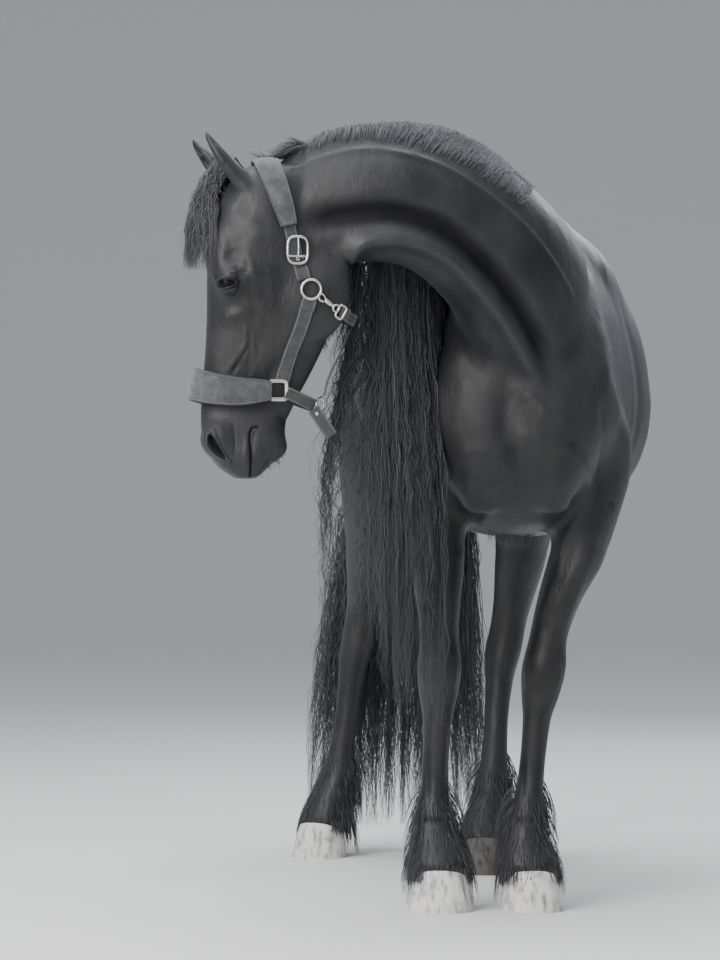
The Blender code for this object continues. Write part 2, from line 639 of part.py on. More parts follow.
# Hair roots
def crest_line(steps):
    """Points and up lines along the top of the neck, from the withers to the poll."""
    line = []
    for centre, _, up, top, _, _ in neck_frames(steps)[steps:]:
        line.append((centre + up * (top - 0.004), up))
    return line[:-int(steps * 1.34)]


def crest_tube(grow=0.0):
    """The ridge the mane grows from."""
    line = crest_line(2)
    last = len(line) - 1
    wide, high = CREST[0] + grow, CREST[1] + grow
    rings = []
    for k, (point, up) in enumerate(line):
        ahead = (line[min(k + 1, last)][0] - line[max(k - 1, 0)][0]).normalized()
        across = ahead.cross(up).normalized()
        spot = point + ahead * (grow if k == last else -grow if k == 0 else 0)
        rings.append(oval(spot, across, up, wide, high, high, 2.0, 8))
    return loft("mane", rings)


def pad(radius):
    """The tuft's root between the ears."""
    f, l, d = head_axes()
    axes = Matrix((f, l, d)).transposed().to_4x4()
    sizes = (0.026 + radius, 0.026 + radius, 0.024 + radius)
    return ellipsoid("forelock", in_head(0.070, 0, 0.012), sizes, axes, 2)


# Locks of hair
def taper(share):
    """A lock's breadth along its length: from the root it widens, keeps on, and ends in a tip."""
    if share < FULL_FROM:
        return ROOT_SIZE + (1 - ROOT_SIZE) * share / FULL_FROM
    if share < FULL_TO:
        return 1.0
    return max((1 - share) / (1 - FULL_TO), 0.0) ** 0.8


def lock(path, width, thick, across):
    """One flat tapered lock along a path: wide along the across line, thin the other way."""
    rings = []
    last = len(path) - 1
    side = across.normalized()
    for k, point in enumerate(path):
        ahead = (path[min(k + 1, last)] - path[max(k - 1, 0)]).normalized()
        face = side.cross(ahead).normalized()
        size = taper(k / last)
        half, deep = width * 0.5 * max(size, 0.08), thick * 0.5 * max(size, 0.25)
        rings.append([point + side * half, point + face * deep, point - side * half, point - face * deep])
    return loft("lock", rings)


def unite(core, pieces):
    """The core and its locks as one closed body."""
    group = bpy.data.collections.new("pieces")
    bpy.context.scene.collection.children.link(group)
    for piece in pieces:
        group.objects.link(piece)
    mod = core.modifiers.new("unite", "BOOLEAN")
    mod.operation = "UNION"
    mod.solver = "MANIFOLD"
    mod.operand_type = "COLLECTION"
    mod.collection = group
    apply_modifiers(core)
    for piece in pieces:
        bpy.data.objects.remove(piece)
    bpy.data.collections.remove(group)
    keep_largest(core)
    return core


def crosses_itself(obj):
    """Whether faces that share no corner meet."""
    own = surface_tree(obj)
    corners = [set(p.vertices) for p in obj.data.polygons]
    return any(not corners[a] & corners[b] for a, b in own.overlap(own) if a < b)


def settled(build, tree):
    """The first of the locks, each laid a little further out, that crosses neither itself nor a node."""
    for lift in range(LIFTS):
        piece = build(LIFT * lift)
        if not surface_tree(piece).overlap(tree) and not crosses_itself(piece):
            return [piece]
        bpy.data.objects.remove(piece)
    return []


def clear_of(tree, point, room):
    """The point moved out until it keeps its room from the skin."""
    near, normal, _, distance = tree.find_nearest(point)
    inside = (point - near).dot(normal) < 0 and distance < DEEP
    if inside or distance < room:
        return near + normal * room
    return point


def drape(tree, start, heading, length, room, pull=0.30, step=0.03):
    """A line of hair that leaves along its heading, bends to hang, and slides over the skin."""
    points = [start]
    heading = heading.normalized()
    for _ in range(int(length / step)):
        heading = (heading * (1 - pull) + Vector((0, 0, -pull))).normalized()
        points.append(clear_of(tree, points[-1] + heading * step, room))
        heading = (points[-1] - points[-2]).normalized()
    return points


def thinned(points, slack):
    """The line with only the points it needs to stay within the slack of its old course."""
    first, last = points[0], points[-1]
    chord = last - first
    worst, index = 0.0, 0
    for k in range(1, len(points) - 1):
        t = max(0.0, min(1.0, (points[k] - first).dot(chord) / max(chord.length_squared, 1e-12)))
        away = (points[k] - first - chord * t).length
        if away > worst:
            worst, index = away, k
    if worst < slack:
        return [first, last]
    return thinned(points[:index + 1], slack)[:-1] + thinned(points[index:], slack)


def mane(skin, others):
    """The long mane: from the crest over to the right side and down in waves."""
    rng = random.Random(11)
    line = crest_line(8)
    core = crest_tube()
    pieces = []
    for k in range(MANE_LOCKS):
        share = (k + 0.5) / MANE_LOCKS
        index = 1 + int(share * (len(line) - 3))
        point, up = line[index]
        along = (line[index + 1][0] - line[index - 1][0]).normalized()
        out = along.cross(up).normalized()
        length = (MANE_LENGTH[0] + MANE_LENGTH[1] * min(share * 2.0, 1.0)) * rng.uniform(0.88, 1.04)
        start = point + up * 0.010 + out * 0.008
        wave = rng.uniform(0, math.tau)
        layer = 0.016 + 0.0125 * (k % MANE_LAYERS)

        def build(lift):
            room = layer + lift
            hang = drape(skin, start, out + up * 0.5, length, room)
            for n in range(8, len(hang)):
                hang[n] = clear_of(skin, hang[n] + along * 0.014 * math.sin(wave + n * 0.55), room)
            return lock([point] + thinned(hang, MANE_SLACK), 0.102, 0.010, along)

        pieces += settled(build, others)
    return unite(core, pieces)


def tail(skin, others):
    """The full tail, falling from the dock almost to the ground."""
    rng = random.Random(5)
    core = dock_tube()
    rows = [Vector(r[:3]) for r in catmull(dock_rows(), 8)]
    pieces = []
    for k in range(TAIL_LOCKS):
        turn = math.tau * (k + 0.5) / TAIL_LOCKS
        side = Vector((math.cos(turn), math.sin(turn), 0))
        inner = k % 2
        start = rows[18 + 16 * inner + k]
        reach = (0.62 if inner else 1.0) * rng.uniform(0.92, 1.05)
        foot = Vector((*TAIL_FOOT, rng.uniform(0.09, 0.22)))
        foot += Vector((side.x * TAIL_SPREAD[0], side.y * TAIL_SPREAD[1], 0)) * reach
        wave = rng.uniform(0, math.tau)

        def build(lift):
            path = [start]
            for n in range(1, 6):
                t = n / 5
                spot = start.lerp(foot, t) + side * 0.050 * math.sin(math.pi * min(t * 1.4, 1.0)) * reach
                spot.x += 0.014 * math.sin(wave + n * 1.9)
                path.append(clear_of(skin, spot, 0.024 + lift))
            return lock(path, 0.106, 0.018, side.cross(Vector((0, 0, 1))))

        pieces += settled(build, others)
    return unite(core, pieces)


# Forelock rows: down, out, and half the spread; and how far it bends back to the sides of the brow
FORELOCK_ROWS = [(0.045, 0.136, 0.022), (0.10, 0.170, 0.055), (0.165, 0.180, 0.075), (0.225, 0.186, 0.084)]
BROW_ROUND = 0.83


def forelock(skin, others):
    """The tuft that falls over the brow."""
    core = pad(0.0)
    pieces = []
    f, l, _ = head_axes()
    for k in range(FORELOCK_LOCKS):
        side = (k + 0.5) / FORELOCK_LOCKS * 2 - 1

        def build(lift):
            path = [in_head(0.066, side * 0.006, 0.010), in_head(0.106 + lift, side * 0.010, -0.006)]
            for down, out, wide in FORELOCK_ROWS:
                out -= BROW_ROUND * side * side * wide
                path.append(clear_of(skin, in_head(out + lift, side * wide, down), 0.018))
            return lock(path, 0.046, 0.011, l - f * side * 0.8)

        pieces += settled(build, others)
    return unite(core, pieces)


def feather(leg, name, tree):
    """The long hair round the back of the fetlock, joined to its leg."""
    rows = LEGS[name]
    heading = math.radians(HOOVES[name][1])
    rng = random.Random(len(name) * 7)
    ankle = min(rows, key=lambda r: abs(r[2] - 0.22))
    pieces = []
    for k in range(FEATHER_LOCKS):
        turn = heading + math.radians(-95 + 190 * (k + 0.5) / FEATHER_LOCKS)
        out = Vector((-math.sin(turn), math.cos(turn), 0))
        rise = 0.215 + 0.05 * math.cos(turn - heading) + rng.uniform(-0.01, 0.01)
        start = Vector((ankle[0], ankle[1] + 0.004, rise))
        path = [start + out * 0.012, start + out * 0.042 - Vector((0, 0, 0.02))]
        hang = drape(tree, path[-1], out * 0.45 - Vector((0, 0, 0.9)), 0.26, 0.010, 0.35, 0.02)
        hang = [p for p in hang[1:] if p.z > 0.022]
        path += thinned(hang, 0.012)
        pieces.append(lock(path, 0.056, 0.012, out.cross(Vector((0, 0, 1)))))
    return unite(leg, pieces)


def carve(skin, makers):
    """The flesh with room cut for bodies seated in it."""
    for cutter in makers:
        boolean(skin, "DIFFERENCE", cutter)


# Halter
def skin_point(tree, point, room):
    """The nearest place over the skin with its outward line, or the point itself where it hangs free."""
    near, normal, _, distance = tree.find_nearest(point)
    if distance < LOOSE:
        return near + normal * room, normal
    return point, (point - near).normalized()


def strap(name, tree, path, width, thick, room=ROOM, steps=3, snug=True, ends=None):
    """Webbing laid over the skin along a path in the head's frame, with its own width at the ends."""
    points = [Vector(p) for p in catmull([in_head(*p) for p in path], steps)]
    rings = []
    last = len(points) - 1
    middle_point = sum(points, Vector()) / len(points)
    ends = ends or width
    for k, point in enumerate(points):
        along = (points[min(k + 1, last)] - points[max(k - 1, 0)]).normalized()
        breadth = ends + (width - ends) * math.sin(math.pi * k / last)
        spot, normal = skin_point(tree, point, room)
        if not snug:
            spot, normal = point, (point - middle_point).normalized()
        normal = (normal - along * normal.dot(along)).normalized()
        side = along.cross(normal).normalized()
        inner, outer = [], []
        for share in (-0.5, 0.0, 0.5):
            corner = spot + side * breadth * share
            lift = normal
            if snug:
                corner, lift = skin_point(tree, corner, room)
            inner.append(corner)
            outer.append(corner + lift * thick)
        rings.append(inner + outer[::-1])
    return loft(name, rings)


def hoop(name, rings):
    """A closed body skinned over rings whose last meets the first."""
    bm = bmesh.new()
    rows = [[bm.verts.new(p) for p in ring] for ring in rings]
    for lower, upper in zip(rows, rows[1:] + rows[:1]):
        for k in range(len(lower)):
            n = (k + 1) % len(lower)
            bm.faces.new((lower[k], lower[n], upper[n], upper[k]))
    return add_object(name, bm)


def wire_loop(name, centre, across, along, half_across, half_along, wire, square=2.0, points=12, around=4):
    """A loop of wire: a ring, or a frame with rounded corners."""
    across = across.normalized()
    along = (along - across * along.dot(across)).normalized()
    out = across.cross(along)
    rings = []
    for k in range(points):
        angle = math.tau * (k + 0.5) / points
        spoke = (across * power(math.cos(angle), 2 / square) * half_across
                 + along * power(math.sin(angle), 2 / square) * half_along)
        lean = (across * math.cos(angle) + along * math.sin(angle)).normalized()
        ring = []
        for n in range(around):
            turn = math.tau * n / around
            ring.append(centre + spoke + lean * wire * math.cos(turn) + out * wire * math.sin(turn))
        rings.append(ring)
    return hoop(name, rings)


def mirrored(path):
    """The left half of a path followed by the same path on the right."""
    return path + [(f, -l, d) for f, l, d in reversed(path) if abs(l) > 1e-6]


def middle_straps(tree):
    """The straps that cross the middle of the head."""
    crown = [(-0.046, 0.10, 0.243), (-0.036, 0.10, 0.170), (-0.014, 0.09, 0.085), (0.008, 0.055, 0.012),
             (0.012, 0, 0.0)]
    nose = [(0.018, 0.070, 0.482), (0.075, 0.078, 0.480), (0.134, 0.062, 0.474), (0.165, 0.024, 0.468)]
    throat = [(-0.138, 0.072, 0.322), (-0.160, 0.045, 0.330), (-0.168, 0.015, 0.334)]
    jaw = [(-0.158, 0, 0.352), (-0.138, 0, 0.400), (-0.112, 0, 0.455), (-0.104, 0, 0.490)]
    tab = [(-0.100, 0.012, 0.536), (-0.115, 0.014, 0.565), (-0.130, 0.016, 0.600)]
    return [strap("halter_crown", tree, mirrored(crown), 0.046, PAD, 0.0055, ends=0.020),
            strap("halter_noseband", tree, mirrored(nose), 0.074, FELT, snug=False, steps=2, ends=0.040),
            strap("halter_throat", tree, mirrored(throat), 0.024, WEBBING, 0.0035, steps=2),
            strap("halter_jaw", tree, jaw, 0.024, WEBBING, steps=2),
            strap("halter_tab", tree, tab, 0.026, WEBBING, snug=False, steps=2)]


def side_straps(tree, side, name):
    """The straps and the snap on one side of the head."""
    chin = [(-0.031, 0.058, 0.487), (-0.055, 0.042, 0.500), (-0.078, 0.014, 0.510)]
    cheek = [(-0.063, 0.09, 0.300), (-0.042, 0.08, 0.375), (-0.017, 0.06, 0.460)]
    snap = [(-0.095, 0.09, 0.286), (-0.110, 0.085, 0.300), (-0.126, 0.08, 0.314)]
    chin, cheek, snap = [[(f, l * side, d) for f, l, d in path] for path in (chin, cheek, snap)]
    return [strap(f"halter_chin_{name}", tree, chin, 0.022, WEBBING, snug=False, steps=1),
            strap(f"halter_cheek_{name}", tree, cheek, 0.028, WEBBING),
            strap(f"halter_snap_{name}", tree, snap, 0.010, 0.007, steps=1)]


def side_metal(tree, side, name):
    """The ring, the square and the buckle on one side."""
    # Place in the head's frame, room over the skin, half sizes and squareness
    rows = {"ring": ((-0.0705, 0.09, 0.272), 0.009, 0.020, 0.020, 2.0),
            "square": ((-0.004, 0.06, 0.482), 0.012, 0.020, 0.017, 4.5),
            "buckle": ((-0.039, 0.09, 0.190), 0.0225, 0.022, 0.028, 3.0)}
    made = []
    for kind, ((forward, left, down), room, wide, high, square) in rows.items():
        spot, normal = skin_point(tree, in_head(forward, left * side, down), room)
        across = normal.cross(DOWN)
        made.append(wire_loop(f"halter_{kind}_{name}", spot, across, DOWN, wide, high, WIRE, square))
    return made


def halter(tree):
    """The padded halter: straps, rings, buckles and snaps."""
    forward, _, down = head_axes()
    made = middle_straps(tree)
    made.append(wire_loop("halter_ring_chin", in_head(-0.100, 0, 0.516), forward, down, 0.013, 0.013, WIRE))
    for side, name in ((1, "left"), (-1, "right")):
        made += side_straps(tree, side, name) + side_metal(tree, side, name)
    return {obj.name: obj for obj in made}


# Plates that part the flesh: place, normal, half size
NECK_BASE = ((-0.008, -0.13, 1.36), (0, -0.75, 0.66), 0.6)
POLL = ((-0.462, -0.51, 1.535), (-0.82, 0, -0.57), 0.20)
EAR_CUT = (0.030, 0.048)
# Legs' upper blocks: low, high, front, back
BLOCKS = {"upper_fore_left": ((-0.03, 0.20, 0.532), ((0.055, 0.84), (0.33, 1.03)), -0.24, 0.27),
          "upper_fore_right": ((-0.10, -0.32, 0.532), ((-0.105, 0.84), (-0.37, 1.03)), -0.24, 0.27),
          "upper_hind_left": ((-0.08, 0.12, 0.575), ((-0.075, 0.88), (0.20, 0.98)), 0.74, 1.24),
          "upper_hind_right": ((-0.27, -0.46, 0.575), ((-0.17, 0.88), (-0.48, 0.98)), 0.84, 1.46)}
SEEDS = {"torso": (-0.03, 0.45, 1.15), "neck": (-0.2, -0.4, 1.5), "head": (-0.6, -0.51, 1.3),
         "ear_left": (-0.66, -0.59, 1.65), "ear_right": (-0.67, -0.46, 1.66),
         "upper_fore_left": (0.12, 0.0, 0.75), "upper_fore_right": (-0.19, 0.0, 0.75),
         "upper_hind_left": (0.04, 0.97, 0.78), "upper_hind_right": (-0.33, 1.15, 0.78),
         "lower_fore_left": (0.03, 0.0, 0.3), "lower_fore_right": (-0.19, 0.0, 0.3),
         "lower_hind_left": (-0.02, 0.97, 0.35), "lower_hind_right": (-0.39, 1.32, 0.35)}


def cut_flesh(skin):
    """The skin parted into named nodes by thin gaps."""
    carve(skin, [loft("hoof", hoof_rings(name, GAP)) for name in HOOVES])
    carve(skin, [eye(1, EYE_RADIUS + GAP), eye(-1, EYE_RADIUS + GAP)])
    carve(skin, [crest_tube(GAP), pad(GAP), dock_tube(GAP)])
    plates = [plate(*NECK_BASE), plate(*POLL)]
    for side in (1, -1):
        base, up, _, _ = ear_frame(side)
        plates.append(plate(base + up * EAR_CUT[0], up, EAR_CUT[1]))
    carve(skin, plates)
    parts = {}
    for name, (low, high, front, back) in BLOCKS.items():
        leg = skin.copy()
        leg.data = skin.data.copy()
        bpy.context.scene.collection.objects.link(leg)
        boolean(leg, "INTERSECT", prism("block", low, high, front, back))
        leg.name = name
        keep_largest(leg)
        parts[name] = leg
    carve(skin, [prism("block", *block, GAP) for block in BLOCKS.values()])
    parts.update(split_loose(skin, {n: p for n, p in SEEDS.items() if n not in parts}))
    return parts


def thin_out(obj, triangles):
    """Fewer triangles, kept where the form turns most."""
    mod = obj.modifiers.new("thin", "DECIMATE")
    mod.ratio = triangles / (2.0 * len(obj.data.polygons))
    apply_modifiers(obj)


# Finishes: colour, roughness, metallic
FINISHES = {"coat": ((0.010, 0.010, 0.012), 0.42, 0.0), "hair": ((0.008, 0.008, 0.009), 0.48, 0.0),
            "hoof": ((0.36, 0.35, 0.33), 0.70, 0.0), "dark_hoof": ((0.05, 0.047, 0.045), 0.65, 0.0),
            "eye": ((0.010, 0.006, 0.004), 0.06, 0.0), "felt": ((0.075, 0.076, 0.080), 0.95, 0.0),
            "webbing": ((0.035, 0.036, 0.040), 0.80, 0.0), "nickel": ((0.62, 0.61, 0.58), 0.28, 1.0)}
STARTS = {"hoof_hind_left": "dark_hoof", "hoof": "hoof", "eye": "eye", "mane": "hair", "tail": "hair",
          "forelock": "hair", "halter_crown": "felt", "halter_noseband": "felt", "halter_ring": "nickel",
          "halter_square": "nickel", "halter_buckle": "nickel", "halter_snap": "nickel",
          "halter": "webbing"}


def finish(obj):
    """The node's own material, by the way its name starts."""
    kind = next((kind for start, kind in STARTS.items() if obj.name.startswith(start)), "coat")
    colour, roughness, metallic = FINISHES[kind]
    material = bpy.data.materials.new(f"{obj.name}_{kind}")
    material.use_nodes = True
    shader = material.node_tree.nodes["Principled BSDF"]
    shader.inputs["Base Color"].default_value = (*colour, 1.0)
    shader.inputs["Roughness"].default_value = roughness
    shader.inputs["Metallic"].default_value = metallic
    obj.data.materials.clear()
    obj.data.materials.append(material)


def main():
    """Clear the scene and build every node."""
    for obj in list(bpy.data.objects):
        bpy.data.objects.remove(obj)
    skin = flesh()
    thin_out(skin, FLESH_TRIANGLES)
    tree = surface_tree(skin)
    halter_nodes = halter(tree)
    hoof_nodes = hooves()
    parts = cut_flesh(skin)
    parts.update(hoof_nodes)
    for name in LEGS:
        feather(parts[f"lower_{name}"], name, surface_tree(hoof_nodes[f"hoof_{name}"]))
    parts["eye_left"], parts["eye_right"] = eye(1, EYE_RADIUS), eye(-1, EYE_RADIUS)
    others = joint_tree(parts.values())
    for name, grow in (("mane", mane), ("tail", tail), ("forelock", forelock)):
        parts[name] = grow(tree, others)
    parts.update(halter_nodes)
    for name, obj in parts.items():
        obj.name = name
        obj.location = SHIFT
        finish(obj)


if __name__ == "__main__":
    main()
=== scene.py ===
"""A black Friesian mare at life size, with long mane and tail, feathered legs and a padded halter."""

import logging
from collections.abc import Callable, Iterable, Sequence
from dataclasses import dataclass, field
from enum import Enum
from math import acos, ceil, copysign, cos, pi, radians, sin, sqrt, tau

import bmesh
import bpy
import numpy as np
from mathutils import Matrix, Vector
from mathutils.bvhtree import BVHTree
from numpy.linalg import norm


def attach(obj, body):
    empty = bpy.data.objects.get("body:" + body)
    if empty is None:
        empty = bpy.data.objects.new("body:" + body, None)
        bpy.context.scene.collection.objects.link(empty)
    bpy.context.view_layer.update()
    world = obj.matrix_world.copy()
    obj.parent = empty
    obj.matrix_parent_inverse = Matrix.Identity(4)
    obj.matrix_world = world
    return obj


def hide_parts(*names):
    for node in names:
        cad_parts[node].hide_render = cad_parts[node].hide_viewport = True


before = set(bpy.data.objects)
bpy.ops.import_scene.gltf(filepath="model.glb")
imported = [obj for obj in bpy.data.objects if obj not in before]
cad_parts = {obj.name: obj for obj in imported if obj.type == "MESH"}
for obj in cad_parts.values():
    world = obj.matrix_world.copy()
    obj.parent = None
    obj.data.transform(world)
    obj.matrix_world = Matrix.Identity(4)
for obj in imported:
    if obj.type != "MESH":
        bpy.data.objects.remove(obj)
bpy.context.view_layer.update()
LOG = logging.getLogger("mare")

# The forms are set out round the fore hooves, and every finished mesh is moved by this much
PLACE = Vector((0.205, -0.472, 0.0))
ROOT = "root"
CAMERA_PLACE = Vector((-0.36, -9.5, 0.951))
FOCAL_PIXELS = 4275.0
Row = Sequence[float]
Path = list[Vector]
# A line over the skin, how broad it is and how deep it is pressed in
Stroke = tuple[Path, float, float]
Array = np.ndarray
Piece = bpy.types.Object
Material = bpy.types.Material
Socket = bpy.types.NodeSocket


class Side(Enum):
    """The mare's own left and right."""

    LEFT = 1
    RIGHT = -1

    @property
    def word(self) -> str:
        """The side's name as the nodes write it."""
        return self.name.lower()


ACROSS = Vector((1, 0, 0))
AHEAD = Vector((0, -1, 0))
UPWARD = Vector((0, 0, 1))


# Plain maths
def catmull(rows: Iterable[Row], steps: int) -> Array:
    """Rows of numbers joined by a smooth curve.

    Args:
        rows: The rows that the curve passes through.
        steps: Samples to each span.

    Returns:
        One row for each sample.
    """
    held = np.array([tuple(r) for r in rows], dtype=float)
    ends = np.vstack([2 * held[0] - held[1], held, 2 * held[-1] - held[-2]])
    out = []
    for k in range(len(held) - 1):
        a, b, c, d = ends[k:k + 4]
        for step in range(steps):
            t = step / steps
            out.append(0.5 * (2 * b + (c - a) * t + (2 * a - 5 * b + 4 * c - d) * t * t
                              + (3 * b - a - 3 * c + d) * t ** 3))
    out.append(held[-1])
    return np.array(out)


def power(value: float, exponent: float) -> float:
    """Signed power, for rings between an ellipse and a box."""
    return copysign(abs(value) ** exponent, value)


def metres(table: object) -> object:
    """A table of millimetres in metres, at any depth."""
    if isinstance(table, dict):
        return {name: metres(rows) for name, rows in table.items()}
    return table / 1000 if isinstance(table, (int, float)) else tuple(metres(row) for row in table)


def smooth_step(low: float, high: float, values: Array) -> Array:
    """A soft rise from 0 at low to 1 at high."""
    t = np.clip((values - low) / (high - low), 0.0, 1.0)
    return t * t * (3 - 2 * t)


def unit(vectors: Array) -> Array:
    """Rows of vectors brought to length one."""
    return vectors / np.maximum(norm(vectors, axis=-1, keepdims=True), 1e-9)


def heading(points: Sequence[Row], k: int) -> Vector:
    """The way that a line runs at its point k."""
    return (Vector(points[min(k + 1, len(points) - 1)][:3]) - Vector(points[max(k - 1, 0)][:3])).normalized()


# Mesh makers
def add_mesh(name: str, bm: bmesh.types.BMesh) -> Piece:
    """The bmesh as a linked object with its faces turned out."""
    bmesh.ops.recalc_face_normals(bm, faces=bm.faces)
    mesh = bpy.data.meshes.new(name)
    bm.to_mesh(mesh)
    bm.free()
    obj = bpy.data.objects.new(name, mesh)
    bpy.context.scene.collection.objects.link(obj)
    return obj


def loft(name: str, rings: Sequence[Sequence[Vector]], closed: bool = False) -> Piece:
    """A body skinned over rings, with flat ends or run round into a hoop."""
    bm = bmesh.new()
    rows = [[bm.verts.new(p) for p in ring] for ring in rings]
    for lower, upper in zip(rows, rows[1:] + (rows[:1] if closed else [])):
        for k in range(len(lower)):
            n = (k + 1) % len(lower)
            bm.faces.new((lower[k], lower[n], upper[n], upper[k]))
    if not closed:
        bm.faces.new(rows[0][::-1])
        bm.faces.new(rows[-1])
    return add_mesh(name, bm)


def oval(centre: Vector, side: Vector, up: Vector, half: float, top: float, bottom: float,
         square: float = 2.0, points: int = 28) -> list[Vector]:
    """One ring: half wide along side, top and bottom high along up."""
    ring = []
    for k in range(points):
        angle = tau * k / points
        rise = power(sin(angle), 2 / square)
        rise *= top if rise > 0 else bottom
        ring.append(Vector(centre) + Vector(side) * power(cos(angle), 2 / square) * half + Vector(up) * rise)
    return ring


def ellipsoid(centre: Vector, radii: Row, axes: Matrix) -> Piece:
    """A ball stretched to three half sizes along its own axes."""
    bm = bmesh.new()
    bmesh.ops.create_icosphere(bm, subdivisions=3, radius=1.0)
    scale = Matrix.Diagonal((*radii, 1))
    bmesh.ops.transform(bm, matrix=Matrix.Translation(centre) @ axes.to_4x4() @ scale, verts=bm.verts)
    return add_mesh("mass", bm)


def apply_modifiers(obj: Piece) -> None:
    """The object's modifiers baked into its mesh."""
    graph = bpy.context.evaluated_depsgraph_get()
    mesh = bpy.data.meshes.new_from_object(obj.evaluated_get(graph), depsgraph=graph)
    obj.modifiers.clear()
    old = obj.data
    obj.data = mesh
    bpy.data.meshes.remove(old)


def join(objects: list[Piece], name: str) -> Piece:
    """One object from many, their surfaces not yet united."""
    bm = bmesh.new()
    for obj in objects:
        bm.from_mesh(obj.data)
    for obj in objects:
        bpy.data.objects.remove(obj)
    return add_mesh(name, bm)


def fuse(obj: Piece, voxel: float, rounds: int) -> None:
    """Remeshed into one closed surface and smoothed."""
    mod = obj.modifiers.new("fuse", "REMESH")
    mod.mode = "VOXEL"
    mod.voxel_size = voxel
    soften = obj.modifiers.new("soften", "SMOOTH")
    soften.factor = 0.5
    soften.iterations = rounds
    apply_modifiers(obj)


def coordinates(mesh: bpy.types.Mesh) -> tuple[Array, Array]:
    """The mesh's vertices and normals as arrays."""
    points = np.empty(len(mesh.vertices) * 3)
    mesh.vertices.foreach_get("co", points)
    normals = np.empty(len(mesh.vertices) * 3)
    mesh.vertex_normals.foreach_get("vector", normals)
    return points.reshape(-1, 3), normals.reshape(-1, 3)


def set_points(mesh: bpy.types.Mesh, points: Array) -> None:
    """New places for all of the mesh's vertices."""
    mesh.vertices.foreach_set("co", points.ravel())
    mesh.update()


def give(mesh: bpy.types.Mesh, name: str, values: Array) -> None:
    """One value kept for each point of the mesh."""
    layer = mesh.attributes.get(name) or mesh.attributes.new(name, "FLOAT", "POINT")
    layer.data.foreach_set("value", values)


def shade_of(mesh: bpy.types.Mesh) -> Array:
    """How deep each point lies in a groove, as painted shading (below zero on ridges, for painted highlight),
    or nothing yet.
    """
    values = np.zeros(len(mesh.vertices))
    if "shade" in mesh.attributes:
        mesh.attributes["shade"].data.foreach_get("value", values)
    return values


def surface_tree(obj: Piece) -> BVHTree:
    """The object's surface ready for nearest point questions."""
    mesh = obj.data
    return BVHTree.FromPolygons([v.co for v in mesh.vertices], [p.vertices for p in mesh.polygons])


def sighted(tree: BVHTree, x: float, y: float) -> Vector | None:
    """The place that the camera sees at a pixel of the 720 by 960 picture."""
    way = Vector(((x - 360) / FOCAL_PIXELS, 1.0, (480 - y) / FOCAL_PIXELS))
    return tree.ray_cast(CAMERA_PLACE, way.normalized())[0]


def relax(bm: bmesh.types.BMesh, verts: list[bmesh.types.BMVert]) -> None:
    """The vertices moved half way to their neighbours' middle."""
    bmesh.ops.smooth_vert(bm, verts=verts, factor=0.5, use_axis_x=True, use_axis_y=True, use_axis_z=True)


def smooth_faces(obj: Piece) -> None:
    """Every face shaded smooth."""
    obj.data.polygons.foreach_set("use_smooth", np.ones(len(obj.data.polygons), dtype=bool))


def finish_piece(obj: Piece, name: str, material: Material, slot: str,
                 nodes: Sequence[str] = ()) -> Piece:
    """A piece put in its place, named, dressed and told to the frame.

    Args:
        obj: The piece, set out round the fore hooves.
        name: Its name in the scene.
        material: Its finish.
        slot: Not used.
        nodes: The nodes that it stands for.

    Returns:
        The same piece.
    """
    obj.name = name
    obj.data.name = name
    obj.data.transform(Matrix.Translation(PLACE))
    smooth_faces(obj)
    obj.data.materials.clear()
    obj.data.materials.append(material)
    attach(obj, ROOT)
    if nodes:
        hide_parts(*nodes)
    LOG.info("%s: %d faces", name, len(obj.data.polygons))
    return obj


# The head's own frame: forward across the face, left, and down along the head
HEAD_TURN = radians(6)
HEAD_ORIGIN = Vector((-0.54, -0.51, 1.62))
FORWARD = Vector((-cos(HEAD_TURN), -sin(HEAD_TURN), 0))
LEFTWARD = Vector((sin(HEAD_TURN), -cos(HEAD_TURN), 0))
DOWN = Vector((0, 0, -1))
EYE_PLACE = (0.104, 0.086, 0.259)
EYE_RADIUS = 0.021


def in_head(forward: float, left: float, down: float) -> Vector:
    """A point given in the head's own frame."""
    return HEAD_ORIGIN + FORWARD * forward + LEFTWARD * left + DOWN * down


def both_sides(rows: Iterable[tuple[list[Row], float, float]]) -> list[Stroke]:
    """Head strokes given once, in millimetres, laid on the left and the right."""
    made = []
    for path, width, depth in metres(rows):
        for side in Side:
            made.append(([in_head(f, l * side.value, d) for f, l, d in path], width, depth))
    return made


